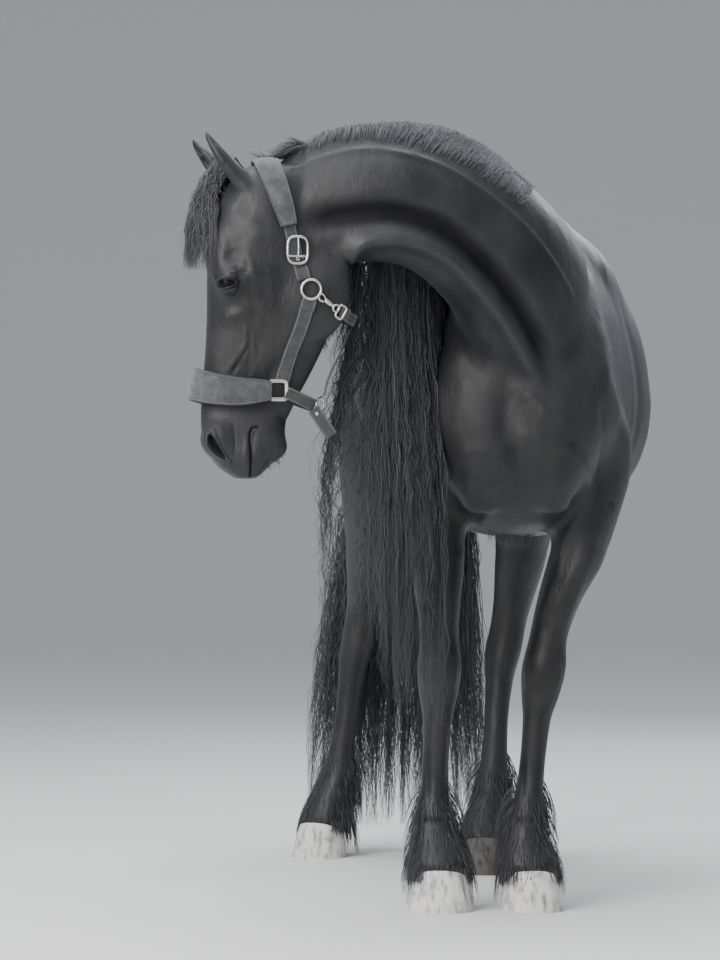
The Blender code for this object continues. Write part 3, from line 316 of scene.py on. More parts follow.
# Flesh
@dataclass
class Flesh:
    """The whole animal without hair and hooves, as one closed skin."""

    body_voxel: float = 0.014
    head_voxel: float = 0.0075
    skin_voxel: float = 0.0062
    body_rounds: int = 14
    even_rounds: int = 45
    head_rounds: int = 10
    skin_rounds: int = 6
    loft_steps: int = 4
    sunk: float = 0.0012
    faces: int = 105_000
    # Trunk rows: y, centre x, top, bottom, half width, widest height in millimetres, square in thousandths
    trunk: tuple[Row, ...] = (
        (-330, -35, 1180, 1040, 90, 1100, 2000), (-290, -30, 1300, 960, 165, 1110, 2100),
        (-200, -20, 1420, 890, 205, 1110, 2100), (-60, -15, 1530, 840, 225, 1120, 2000),
        (80, -5, 1585, 825, 245, 1120, 1900), (260, 0, 1565, 820, 285, 1120, 1950),
        (450, 0, 1535, 815, 320, 1130, 2100), (640, -15, 1530, 835, 332, 1130, 2200),
        (820, -50, 1555, 880, 315, 1150, 2250), (980, -85, 1588, 950, 290, 1200, 2300),
        (1120, -115, 1575, 1000, 275, 1250, 2300), (1240, -145, 1520, 1020, 235, 1270, 2200),
        (1330, -165, 1430, 1080, 155, 1260, 2000), (1370, -175, 1360, 1160, 70, 1260, 2000))
    # Neck rows: centre, dorsal half, ventral half, half width, the dorsal side's lean to x and y in thousandths
    neck: tuple[Row, ...] = (
        (10, 100, 1250, 290, 280, 175, 0, 750), (0, -60, 1320, 265, 290, 172, 20, 780),
        (-20, -200, 1395, 225, 260, 150, 30, 660), (-70, -310, 1462, 180, 215, 126, 60, 450),
        (-145, -400, 1516, 160, 180, 106, 80, 240), (-230, -465, 1545, 148, 156, 94, 30, 80),
        (-330, -497, 1547, 142, 140, 86, -50, 0), (-430, -505, 1525, 136, 132, 80, -320, 0),
        (-520, -510, 1475, 118, 115, 76, -800, 0))
    # Head rows: down, front, back, half width, place of the widest line, square in thousandths
    head: tuple[Row, ...] = (
        (5, 50, -70, 45, 0, 2000), (30, 85, -95, 70, 0, 2100), (80, 120, -110, 86, 30, 2200),
        (150, 137, -118, 95, 50, 2200), (220, 143, -128, 94, 60, 2200), (290, 144, -130, 84, 50, 2200),
        (360, 146, -118, 70, 40, 2200), (420, 150, -92, 60, 50, 2200), (470, 154, -66, 53, 60, 2200),
        (520, 158, -40, 50, 70, 2200), (560, 157, -26, 53, 80, 2200), (600, 148, -18, 56, 80, 2200),
        (640, 124, 8, 49, 80, 2200), (668, 86, 36, 24, 62, 2000))
    # Leg rows in millimetres: x, y, z, half across, half forward, half back
    legs: dict[str, tuple[Row, ...]] = field(default_factory=lambda: metres({
        "fore_left": (
            (135, 30, 1200, 30, 80, 60), (158, 10, 1080, 80, 150, 140), (168, 30, 980, 80, 125, 155),
            (155, 20, 900, 73, 110, 122), (121, 10, 775, 64, 90, 86), (83, 0, 684, 51, 70, 64),
            (58, 0, 600, 44, 52, 50), (48, -2, 530, 51, 54, 52), (40, 0, 468, 43, 43, 46),
            (33, 4, 418, 33, 36, 42), (24, 6, 330, 30, 33, 42), (16, 4, 255, 33, 37, 47),
            (12, 0, 213, 42, 44, 54), (10, -12, 160, 50, 46, 58), (14, -28, 105, 64, 60, 66),
            (18, -34, 58, 62, 62, 62)),
        "fore_right": (
            (-160, 30, 1200, 30, 80, 60), (-185, 10, 1080, 80, 150, 140), (-203, 30, 980, 80, 125, 155),
            (-196, 20, 900, 73, 110, 122), (-190, 10, 775, 64, 90, 86), (-186, 0, 684, 51, 70, 64),
            (-184, 0, 600, 44, 52, 50), (-184, -2, 530, 51, 54, 52), (-186, 0, 468, 43, 43, 46),
            (-188, 4, 418, 34, 36, 42), (-192, 6, 330, 31, 33, 42), (-195, 4, 255, 34, 37, 47),
            (-196, 0, 213, 43, 44, 54), (-192, -14, 160, 52, 46, 58), (-186, -32, 105, 67, 62, 67),
            (-182, -38, 58, 65, 64, 63)),
        "hind_left": (
            (30, 1060, 1300, 110, 180, 180), (45, 1010, 1140, 115, 185, 200),
            (52, 955, 1000, 100, 165, 200), (46, 955, 880, 80, 140, 150), (34, 985, 760, 64, 95, 105),
            (20, 1020, 670, 52, 70, 84), (6, 1030, 600, 45, 62, 85), (-8, 1015, 530, 46, 62, 62),
            (-18, 995, 460, 36, 45, 50), (-26, 975, 370, 31, 36, 43), (-32, 950, 270, 34, 38, 46),
            (-36, 935, 220, 42, 44, 52), (-45, 903, 160, 48, 45, 56), (-53, 877, 105, 60, 56, 62),
            (-58, 868, 58, 58, 58, 58)),
        "hind_right": (
            (-270, 1120, 1300, 110, 180, 180), (-295, 1090, 1140, 115, 190, 200),
            (-315, 1070, 1000, 100, 175, 200), (-325, 1100, 880, 80, 145, 150),
            (-335, 1190, 760, 62, 95, 105), (-348, 1265, 670, 45, 66, 82), (-358, 1315, 600, 41, 60, 85),
            (-368, 1325, 530, 44, 62, 62), (-380, 1325, 460, 36, 45, 50), (-392, 1325, 370, 31, 36, 43),
            (-407, 1325, 270, 34, 38, 46), (-414, 1325, 220, 42, 44, 52), (-434, 1311, 160, 48, 45, 56),
            (-447, 1303, 105, 60, 56, 62), (-456, 1299, 58, 58, 58, 58))}))
    # Muscles of the left side: two ends (out from the middle line, y, z), breadth, depth, outward side
    muscles: tuple[tuple[Row, Row, float, float, Row], ...] = (
        ((75, 100, 1500), (175, -190, 1170), 110, 55, (1, 0.2, 0.2)),
        ((180, -190, 1150), (185, 60, 1000), 80, 52, (1, 0, 0)),
        ((150, 120, 1340), (170, 90, 1040), 135, 44, (1, 0, 0)),
        ((70, -265, 1120), (85, -195, 910), 72, 75, (0, -1, 0)),
        ((165, 760, 1420), (180, 940, 1340), 95, 40, (1, 0, 0.4)),
        ((110, 840, 1450), (150, 1160, 1410), 130, 100, (0.5, 0, 0.85)),
        ((190, 880, 1360), (165, 900, 1020), 120, 80, (1, 0, 0)),
        ((125, 1220, 1360), (140, 1120, 1000), 130, 92, (1, 0, 0)),
        ((150, 1040, 1360), (150, 1020, 1050), 150, 100, (1, 0, 0)),
        ((200, 350, 1180), (210, 620, 1140), 220, 95, (1, 0, 0)),
        ((90, 40, 1475), (160, 420, 1445), 130, 56, (0.6, 0, 0.8)),
        ((158, 360, 1430), (150, 900, 1465), 118, 54, (0.6, 0, 0.8)),
        ((222, 340, 1290), (212, 800, 1320), 180, 50, (1, 0, 0.4)))
    # Head masses: place in the head's frame, three half sizes, turn in degrees
    masses: tuple[tuple[Row, Row, float], ...] = (
        ((-0.06, 0.045, 0.275), (0.098, 0.044, 0.115), 0), ((0.1, 0.074, 0.258), (0.032, 0.034, 0.034), 0),
        ((0.06, 0.076, 0.235), (0.075, 0.028, 0.026), 6), ((0.045, 0.066, 0.305), (0.08, 0.018, 0.016), -22),
        ((0.108, 0.04, 0.205), (0.036, 0.05, 0.08), 0), ((0.118, 0.034, 0.585), (0.04, 0.032, 0.046), -12),
        ((0.06, 0.03, 0.61), (0.05, 0.03, 0.034), 0), ((0.006, 0.014, 0.598), (0.036, 0.032, 0.034), 0))
    # Ear rows: rise along the ear, lean to its open side, half breadth, half depth
    ear: tuple[Row, ...] = (
        (45, -10, 32, 28), (0, 0, 29, 24), (-40, 4, 30, 21), (-78, 6, 26, 17), (-108, 3, 16, 10),
        (-130, -3, 5, 4))

    def trunk_tube(self) -> Piece:
        """The barrel."""
        rings = [oval(Vector((x, y, mid)), ACROSS, UPWARD, half, top - mid, mid - bottom, square)
                 for y, x, top, bottom, half, mid, square in catmull(metres(self.trunk), self.loft_steps)]
        return loft("trunk", rings)

    def neck_frames(self, steps: int) -> list[tuple[Vector, Vector, Vector, float, float, float]]:
        """Neck rows as centre, side, up and three half sizes."""
        rows = catmull(metres(self.neck), steps)
        frames = []
        for k, row in enumerate(rows):
            along = heading(rows, k)
            up = Vector((row[6], row[7], 1.0))
            up = (up - along * up.dot(along)).normalized()
            frames.append((Vector(row[:3]), along.cross(up).normalized(), up, row[3], row[4], row[5]))
        return frames

    def neck_tube(self) -> Piece:
        """The neck, broad below and narrow along the crest."""
        rings = []
        for centre, side, up, top, bottom, half in self.neck_frames(self.loft_steps):
            ring = []
            for k in range(28):
                angle = tau * k / 28
                rise = sin(angle)
                width = half * (1 - 0.38 * max(rise, 0) ** 2)
                ring.append(centre + side * width * power(cos(angle), 0.9)
                            + up * rise * (top if rise > 0 else bottom))
            rings.append(ring)
        return loft("neck", rings)

    def head_tube(self) -> Piece:
        """The skull with nose and jaw."""
        rings = [oval(in_head(mid, 0, down), LEFTWARD, FORWARD, half, front - mid, mid - back, square)
                 for down, front, back, half, mid, square in catmull(metres(self.head), self.loft_steps)]
        return loft("skull", rings)

    def leg_tubes(self, highest: float = 2.0) -> list[Piece]:
        """The four legs, whole or from a height at which they start slimmer."""
        tubes = []
        for name, rows in self.legs.items():
            held = [row for row in rows if row[2] < highest]
            if len(held) < len(rows):
                held[0] = (*held[0][:3], *(size * 0.84 for size in held[0][3:]))
            tubes.append(loft(name, [oval(Vector((x, y, z)), ACROSS, AHEAD, half, front, back)
                                     for x, y, z, half, front, back in catmull(held, self.loft_steps)]))
        return tubes

    def middle(self, y: float) -> float:
        """The body's middle line seen from above."""
        rows = np.array(metres(self.trunk))
        return float(np.interp(y, rows[:, 0], rows[:, 1]))

    def body_masses(self) -> list[Piece]:
        """The muscles, left and right."""
        made = []
        for *sizes, out in self.muscles:
            start, end, wide, deep = metres(sizes)
            for side in Side:
                a, b = [Vector((self.middle(p[1]) + p[0] * side.value, p[1], p[2])) for p in (start, end)]
                along = (b - a).normalized()
                face = Vector((out[0] * side.value, out[1], out[2]))
                face = (face - along * face.dot(along)).normalized()
                axes = Matrix((along, along.cross(face), face)).transposed()
                made.append(ellipsoid((a + b) / 2, ((b - a).length / 2 + wide * 0.6, wide, deep), axes))
        return made

    def head_masses(self) -> list[Piece]:
        """Cheeks, brows, nostrils and lips, on both sides of the head."""
        made = []
        for (forward, left, down), radii, degrees in self.masses:
            for side in Side:
                axes = Matrix((FORWARD, LEFTWARD * side.value, DOWN)).transposed()
                turn = Matrix.Rotation(radians(degrees), 3, "Y")
                made.append(ellipsoid(in_head(forward, left * side.value, down), radii, axes @ turn))
        return made

    def ear_frame(self, side: Side) -> tuple[Vector, Vector, Vector, Vector]:
        """The ear's base, its up line, its open side and its breadth."""
        s = side.value
        up = (-DOWN + FORWARD * (0.8 - 0.06 * s) + LEFTWARD * 0.16 * s).normalized()
        face = FORWARD * 0.9 - LEFTWARD * 0.12 * s
        face = (face - up * face.dot(up)).normalized()
        return in_head(0.082 - 0.006 * s, 0.052 * s, 0.044), up, face, up.cross(face).normalized()

    def ear_tube(self, side: Side) -> Piece:
        """One pricked ear, curved to its tip."""
        base, up, face, across = self.ear_frame(side)
        rings = [oval(base - up * rise + face * lean * 0.55, across, face, half, deep, deep, 2.0, 16)
                 for rise, lean, half, deep in catmull(metres(self.ear), self.loft_steps)]
        return loft("ear", rings)

    def even(self, body: Piece) -> None:
        """The back and the flanks evened where their masses meet."""
        bm = bmesh.new()
        bm.from_mesh(body.data)
        verts = [v for v in bm.verts if 0.12 < v.co.y < 1.06 and v.co.z > 1.14
                 and abs(v.co.x - self.middle(v.co.y)) > 0.08]
        for _ in range(self.even_rounds):
            relax(bm, verts)
        bm.to_mesh(body.data)
        bm.free()

    def build(self) -> Piece:
        """The fused and smoothed skin with its grooves and ridges."""
        body = join([self.trunk_tube(), self.neck_tube()] + self.body_masses() + self.leg_tubes(), "body")
        fuse(body, self.body_voxel, self.body_rounds)
        self.even(body)
        head = join([self.head_tube()] + self.head_masses(), "head")
        fuse(head, self.head_voxel, self.head_rounds)
        skin = join([body, head] + [self.ear_tube(side) for side in Side] + self.leg_tubes(0.95), "skin")
        fuse(skin, self.skin_voxel, self.skin_rounds)
        tops = [centre + up * top for centre, _, up, top, _, _ in self.neck_frames(2)]
        Strokes.lay(skin, [(tops[2:-1], 0.03, -0.017)] + Strokes.body() + Strokes.head() + Strokes.ears(self))
        Strokes.lay(skin, Strokes.seen(surface_tree(skin)))
        return skin


class Strokes:
    """Lines pressed into the skin or raised from it."""

    @staticmethod
    def distance(points: Array, path: Sequence[Vector]) -> tuple[Array, Array, float]:
        """How far each point lies from a line and how far along it, and the line's length."""
        best, run = np.full(len(points), 9.0), np.zeros(len(points))
        length = 0.0
        for start, end in zip(path, path[1:]):
            a, b = np.array(start), np.array(end)
            step = b - a
            t = np.clip((points - a) @ step / max(step @ step, 1e-12), 0, 1)
            away = norm(points - a - t[:, None] * step, axis=1)
            run = np.where(away < best, length + t * norm(step), run)
            best = np.minimum(best, away)
            length += float(norm(step))
        return best, run, length

    @staticmethod
    def lay(obj: Piece, strokes: list[Stroke]) -> None:
        """Each stroke pushed in along the normals, kept as painted shading and faded at its ends: painted shade
        in grooves, painted highlight on ridges.
        """
        tree = surface_tree(obj)
        points, normals = coordinates(obj.data)
        moved = np.zeros(len(points))
        shade = shade_of(obj.data)
        for path, width, depth in strokes:
            laid = [tree.find_nearest(Vector(p))[0] for p in catmull(path, 4)]
            box = np.array([list(p) for p in laid])
            near = np.all((points > box.min(0) - 3 * width) & (points < box.max(0) + 3 * width), axis=1)
            away, run, length = Strokes.distance(points[near], laid)
            fade = min(3.0 * width, 0.3 * length)
            ends = smooth_step(-0.3 * fade, fade, run) * smooth_step(-0.3 * fade, fade, length - run)
            fall = ends * np.exp(-(away / width) ** 2)
            moved[near] += depth * fall
            # painted shading: shade where the stroke sinks in, highlight (below zero) where it rises
            shade[near] += depth / width * fall
        give(obj.data, "shade", shade)
        set_points(obj.data, points - normals * moved[:, None])

    @staticmethod
    def body() -> list[Stroke]:
        """Grooves between the body's muscles."""
        rows = [
            ([(-52, -400, 1200), (-50, -420, 1050), (-50, -380, 930), (-45, -250, 840)], 26, 8),
            ([(-215, -330, 1200), (-200, -360, 1050), (-200, -300, 930), (-200, -160, 860)], 26, 4),
            ([(160, 20, 1560), (200, -120, 1420), (200, -240, 1280), (160, -320, 1180)], 38, 10),
            ([(-170, 20, 1560), (-220, -120, 1420), (-220, -240, 1280), (-200, -320, 1180)], 38, 10),
            ([(250, 240, 1400), (280, 250, 1150), (250, 220, 970)], 40, 6),
            ([(-270, 240, 1400), (-300, 250, 1150), (-270, 220, 970)], 40, 6),
            ([(-160, 1370, 1360), (-165, 1400, 1200), (-160, 1330, 1020), (-150, 1150, 980)], 30, 35)]
        return [([Vector(p) for p in path], width, depth) for path, width, depth in metres(rows)]

    @staticmethod
    def head() -> list[Stroke]:
        """Eye sockets, brows, temples, mouth line, jaw and cheek lines."""
        return both_sides([
            ([(112, 103, 262), (95, 112, 258), (78, 112, 264)], 13, 10),
            ([(125, 90, 250), (105, 112, 240), (78, 118, 245)], 8, -7),
            ([(125, 85, 272), (105, 108, 282), (78, 110, 276)], 8, -4),
            ([(100, 85, 190), (85, 95, 215)], 18, 4),
            ([(90, 80, 86), (70, 84, 104), (52, 86, 112)], 18, 5),
            ([(94, 80, 112), (40, 92, 150), (-30, 95, 158)], 20, -1.8),
            ([(80, 88, 160), (94, 84, 196), (104, 80, 226)], 18, 3.5),
            ([(105, 100, 228), (62, 100, 180), (30, 95, 130)], 18, -1.8),
            ([(135, 50, 585), (120, 56, 610)], 13, 4),
            ([(44, 58, 560), (52, 57, 590), (56, 50, 640)], 6, 3),
            ([(-130, 50, 160), (-160, 50, 280), (-100, 60, 390)], 16, -3),
            ([(95, 85, 310), (75, 80, 370), (65, 70, 440)], 14, -2.5),
            ([(-15, 70, 400), (20, 60, 470), (30, 55, 530)], 16, 6),
            ([(0, 35, 530), (-10, 0, 540)], 14, 6)])

    @staticmethod
    def seen(tree: BVHTree) -> list[Stroke]:
        """Lines of neck, breast and legs in the front view's pixels, their sizes in millimetres."""
        rows = [
            ([(300, 225), (324, 218), (360, 214), (400, 214), (445, 229), (480, 258), (510, 292),
             (530, 326), (550, 368)], 26, 27),
            ([(346, 275), (354, 248), (376, 238), (413, 240), (445, 254), (475, 282), (504, 318),
             (526, 356), (538, 386)], 22, -22),
            ([(350, 280), (349, 262), (356, 246), (372, 234)], 11, -3),
            ([(286, 168), (320, 158), (363, 149), (398, 152), (445, 167), (486, 193), (522, 223),
             (548, 254), (574, 300)], 7, -4),
            ([(446, 381), (488, 384), (520, 389), (535, 388), (543, 377), (556, 368), (576, 362)], 17, -3),
            ([(462, 352), (474, 372), (492, 390)], 18, 3),
            ([(456, 500), (455, 470), (462, 454), (480, 449), (494, 454), (501, 470),
             (506, 488)], 14, -4.5),
            ([(512, 484), (492, 508), (471, 530), (458, 556)], 12, -5),
            ([(520, 440), (534, 434), (548, 440)], 16, -4),
            ([(554, 505), (553, 490), (554, 472), (558, 454), (567, 449), (576, 456), (587, 474),
             (594, 492)], 14, -4.5),
            ([(594, 490), (580, 515), (563, 543), (556, 562)], 12, -5),
            ([(508, 440), (512, 460), (513, 476)], 13, 4),
            ([(476, 475), (478, 495), (474, 512)], 20, 5),
            ([(570, 475), (574, 495), (570, 515)], 18, 5),
            ([(522, 392), (538, 404), (549, 418)], 10, -5),
            ([(600, 400), (606, 440), (600, 480), (590, 520)], 18, 6),
            ([(609, 500), (615, 508), (621, 522)], 6, 4),
            ([(575, 540), (556, 590), (540, 640)], 16, 3.5),
            ([(600, 520), (585, 570), (566, 625)], 16, -4),
            ([(472, 560), (462, 610), (458, 650)], 12, -6),
            ([(424, 655), (422, 672), (426, 690)], 6, -3),
            ([(452, 652), (456, 672), (452, 692)], 6, -3),
            ([(430, 700), (428, 750), (428, 800)], 6, 2.5),
            ([(449, 700), (449, 750), (447, 800)], 6, 2.5),
            ([(528, 655), (526, 672), (528, 690)], 6, -3),
            ([(556, 652), (560, 672), (556, 692)], 6, -3),
            ([(527, 705), (524, 750), (522, 800)], 6, 2.5),
            ([(543, 705), (540, 750), (538, 800)], 6, 2.5),
            ([(417, 818), (432, 822), (448, 817)], 6, 3),
            ([(412, 866), (436, 870), (462, 863)], 5, 3),
            ([(512, 818), (528, 821), (543, 815)], 6, 3),
            ([(506, 868), (530, 872), (554, 863)], 5, 3)]
        made = []
        for path, width, depth in rows:
            hits = [sighted(tree, x, y) for x, y in path]
            made.append(([p for p in hits if p is not None], metres(width), metres(depth)))
        return [row for row in made if len(row[0]) > 1]

    @staticmethod
    def ears(flesh: Flesh) -> list[Stroke]:
        """The hollow in the front of each ear."""
        made = []
        for side in Side:
            base, up, face, _ = flesh.ear_frame(side)
            rows = metres(((12, 40), (60, 45), (105, 45)))
            made.append(([base + up * rise + face * lean for rise, lean in rows], 0.013, 0.02))
        return made


# Hair
class Unwrap:
    """The skin's own unwrap, with a patch for the root of each hair."""

    patch: float = 0.003
    layer: str = "OFBake"

    def __init__(self, skin: Piece) -> None:
        """Unwraps the skin and keeps the middle of each face on the map."""
        bpy.ops.object.select_all(action="DESELECT")
        skin.select_set(True)
        bpy.context.view_layer.objects.active = skin
        skin.data.uv_layers.new(name=self.layer)
        bpy.ops.object.mode_set(mode="EDIT")
        bpy.ops.mesh.select_all(action="SELECT")
        bpy.ops.uv.smart_project(angle_limit=radians(66), island_margin=0.002)
        bpy.ops.object.mode_set(mode="OBJECT")
        mesh = skin.data
        corners = np.empty(len(mesh.loops) * 2)
        mesh.uv_layers[self.layer].data.foreach_get("uv", corners)
        corners = corners.reshape(-1, 2)
        starts = np.empty(len(mesh.polygons), dtype=int)
        mesh.polygons.foreach_get("loop_start", starts)
        totals = np.empty(len(mesh.polygons), dtype=int)
        mesh.polygons.foreach_get("loop_total", totals)
        self.middles = np.add.reduceat(corners, starts, axis=0) / totals[:, None]
        self.tree = surface_tree(skin)

    def spots(self, roots: Array) -> Array:
        """The place of each root on the map."""
        faces = [self.tree.find_nearest(Vector(p))[2] for p in roots]
        return self.middles[faces]


def strand_mesh(name: str, paths: Array, widths: Array, spots: Array, rooted: Row = (0.7, 0.08),
                flat: float = 0.55, tip: float = 0.12, seed: int = 1) -> Piece:
    """Hair as thin closed tubes of three sides that taper to their tips.

    Args:
        name: The piece's name.
        paths: One row of points for each strand.
        widths: The breadth of each strand.
        spots: Each root's place on the skin's map.
        rooted: The root's share of the breadth, and where the full breadth is reached.
        flat: Thickness as a share of the breadth.
        tip: Breadth at the tip as a share of the breadth.
        seed: For the strands' turns and tones.

    Returns:
        One object with all the strands.
    """
    count, steps, _ = paths.shape
    rng = np.random.default_rng(seed)
    ahead = unit(np.gradient(paths, axis=1))
    mean = unit(paths[:, -1] - paths[:, 0])
    turn = unit(np.cross(mean, rng.normal(size=(count, 3))))
    side = unit(np.cross(ahead, np.cross(ahead, turn[:, None, :])))
    face = np.cross(ahead, side)
    along = np.linspace(0, 1, steps)
    taper = np.interp(along, (0, rooted[1], max(0.55, rooted[1] + 0.1), 1.0), (rooted[0], 1.0, 0.95, tip))
    reach = widths[:, None, None] * taper[None, :, None] * 0.5
    rings = [paths + side * reach * cos(a) + face * reach * flat * sin(a)
             for a in (pi / 2, pi * 7 / 6, pi * 11 / 6)]
    points = np.stack(rings, axis=2).reshape(-1, 3)
    base = (np.arange(count) * steps * 3)[:, None, None, None]
    ring = (np.arange(steps - 1) * 3)[None, :, None, None]
    k = np.arange(3)
    n = (k + 1) % 3
    quad = np.stack([k, n, n + 3, k + 3], axis=1)[None, None]
    quads = (base + ring + quad).reshape(-1, 4)
    roots = (base[:, 0, 0] + np.array([[2, 1, 0]])).reshape(-1, 3)
    tips = (base[:, 0, 0] + (steps - 1) * 3 + np.array([[0, 1, 2]])).reshape(-1, 3)
    faces = quads.tolist() + roots.tolist() + tips.tolist()
    mesh = bpy.data.meshes.new(name)
    mesh.from_pydata(points, [], faces)
    loops = np.empty(len(mesh.loops), dtype=int)
    mesh.loops.foreach_get("vertex_index", loops)
    strand, rest = np.divmod(loops, steps * 3)
    step, corner = np.divmod(rest, 3)
    local = np.stack([corner / 2, step / (steps - 1)], axis=1) - 0.5
    uv = spots[strand] + local * Unwrap.patch
    mesh.uv_layers.new(name=Unwrap.layer).data.foreach_set("uv", uv.ravel())
    give(mesh, "tone", np.repeat(rng.random(count), steps * 3))
    give(mesh, "along", np.tile(np.repeat(along, 3), count))
    obj = bpy.data.objects.new(name, mesh)
    bpy.context.scene.collection.objects.link(obj)
    return obj


def keep_clear(tree: BVHTree, paths: Array, rooms: Array, deep: float = 0.12,
               start: int = 1) -> Array:
    """Points of hair moved out until they keep their room from the skin.

    Args:
        tree: The skin.
        paths: One row of points for each strand.
        rooms: The room that each point keeps.
        deep: How far under the skin a point counts as sunk.
        start: The first point of each strand that moves.

    Returns:
        The moved paths.
    """
    out = paths.copy()
    for i in range(paths.shape[0]):
        for k in range(start, paths.shape[1]):
            near, normal, _, distance = tree.find_nearest(Vector(out[i, k]))
            room = rooms[i, k]
            below = (Vector(out[i, k]) - near).dot(normal) < 0 and distance < deep
            if below or distance < room:
                out[i, k] = near + normal * room
    return out


def drape(tree: BVHTree, start: Vector, way: Vector, steps: int, room: float, pull: float = 0.3,
          step: float = 0.03, ease: int = 3) -> Path:
    """A line of hair that bends to hang and slides over the skin.

    Args:
        tree: The skin.
        start: The root.
        way: Its first way.
        steps: How many steps it runs.
        room: The room it keeps from the skin.
        pull: How fast it bends to hang.
        step: The length of a step.
        ease: How many steps it takes to rise.

    Returns:
        The points of the line.
    """
    points = [start]
    way = way.normalized()
    for k in range(steps):
        way = (way * (1 - pull) + Vector((0, 0, -pull))).normalized()
        spot = points[-1] + way * step
        near, normal, _, distance = tree.find_nearest(spot)
        keep = room * min((k + 1) / ease, 1.0)
        below = (spot - near).dot(normal) < 0 and distance < 0.12
        if below or distance < keep:
            spot = near + normal * keep
        points.append(spot)
        way = (points[-1] - points[-2]).normalized()
    return points


@dataclass
class Hair:
    """Strands between guides, gathered in wavy clumps."""

    strands: int = 0
    points: int = 6
    breadth: float = 0.0014
    clumps: int = 1
    gather: float = 0.0
    wave: float = 0.0
    wave_length: float = 1.0
    frizz: float = 0.0
    seed: int = 1
    # The root's share of the breadth, and where the full breadth is reached
    rooted: tuple[float, float] = (0.7, 0.08)

    def draws(self, more: int = 0) -> np.random.Generator:
        """Random draws from the seed."""
        return np.random.default_rng(self.seed + more)

    def between(self, guides: Array, across: Array, layer: Array) -> Array:
        """Lines between the guides.

        Args:
            guides: Guide lines, set out by place across, layer and step.
            across: Each strand's place across, from 0 to 1.
            layer: Each strand's layer, from 0 to 1.

        Returns:
            One line for each strand, with the guides' own steps.
        """
        u = np.clip(across, 0, 0.9999) * (guides.shape[0] - 1)
        v = np.clip(layer, 0, 0.9999) * (guides.shape[1] - 1)
        i, j = u.astype(int), v.astype(int)
        a, b = (u - i)[:, None, None], (v - j)[:, None, None]
        return ((1 - a) * (1 - b) * guides[i, j] + a * (1 - b) * guides[i + 1, j]
                + (1 - a) * b * guides[i, j + 1] + a * b * guides[i + 1, j + 1])

    def cut(self, lines: Array, lengths: Array, step: float) -> Array:
        """The lines cut to length and given the strands' number of points."""
        share = np.linspace(0, 1, self.points)
        place = np.clip(lengths[:, None] * share[None, :] / step, 0, lines.shape[1] - 1.001)
        k = place.astype(int)
        t = (place - k)[..., None]
        rows = np.arange(len(lines))[:, None]
        return lines[rows, k] * (1 - t) + lines[rows, k + 1] * t

    def gathered(self, paths: Array, across: Array, layer: Array,
                 middles: Callable[[Array, Array], Array]) -> Array:
        """The strands drawn to their clumps, with waves that a clump shares and finer frizz.

        Args:
            paths: The strands.
            across: Each strand's place across.
            layer: Each strand's layer.
            middles: Makes the lines of clumps from places and layers.

        Returns:
            The moved strands.
        """
        rng = self.draws()
        even = (np.arange(self.clumps) + rng.random(self.clumps)) / self.clumps
        spots = np.stack([even, rng.random(self.clumps)], axis=1)
        away = (across[:, None] - spots[None, :, 0]) ** 2 + (0.12 * (layer[:, None] - spots[None, :, 1])) ** 2
        own = away.argmin(axis=1)
        centre = middles(spots[own, 0], spots[own, 1])
        share = np.linspace(0, 1, self.points)
        draw = self.gather * smooth_step(0.08, 0.9, share)[None, :, None]
        paths = paths * (1 - draw) + centre * draw
        steps = norm(np.diff(paths, axis=1), axis=2)
        run = np.concatenate([np.zeros((len(paths), 1)), np.cumsum(steps, axis=1)], axis=1)
        phase = rng.uniform(0, tau, self.clumps)[own] + rng.normal(0, 0.5, len(paths))
        length = (self.wave_length * rng.uniform(0.85, 1.2, self.clumps))[own]
        turn = rng.uniform(0, tau, self.clumps)[own]
        way = np.stack([np.cos(turn), np.sin(turn) * 0.6, np.zeros(len(paths))], axis=1)
        rise = smooth_step(0.05, 0.35, share)[None, :]
        swing = self.wave * rise * np.sin(tau * run / length[:, None] + phase[:, None])
        paths = paths + way[:, None, :] * swing[..., None]
        loose = rng.normal(0, self.frizz, paths.shape) * rise[..., None]
        stray = (1 + 2.5 * (rng.random(len(paths)) < 0.06))[:, None, None]
        return paths + loose * stray

    def meshes(self, name: str, paths: Array, unwrap: Unwrap, limit: int = 195_000) -> list[Piece]:
        """The strands as pieces of fewer triangles than the limit."""
        rng = self.draws(1)
        each = 6 * (self.points - 1) + 2
        parts = ceil(len(paths) * each / limit)
        widths = self.breadth * rng.uniform(0.6, 1.3, len(paths))
        spots = unwrap.spots(paths[:, 0])
        return [strand_mesh(f"{name}_{part + 1}", paths[part::parts], widths[part::parts], spots[part::parts],
                            self.rooted, seed=self.seed + part) for part in range(parts)]


def resample(points: Sequence[Vector], step: float, count: int) -> list[Row]:
    """A line given equal steps, run on straight where it is short.

    Args:
        points: The line.
        step: The length of each step.
        count: How many points are wanted.

    Returns:
        The new points.
    """
    held = np.array([tuple(p) for p in points])
    held = np.vstack([held, held[-1] + unit(held[-1] - held[-2]) * step * count])
    run = np.concatenate([[0.0], np.cumsum(norm(np.diff(held, axis=0), axis=1))])
    places = np.arange(count) * step
    return np.stack([np.interp(places, run, held[:, k]) for k in range(3)], axis=1).tolist()


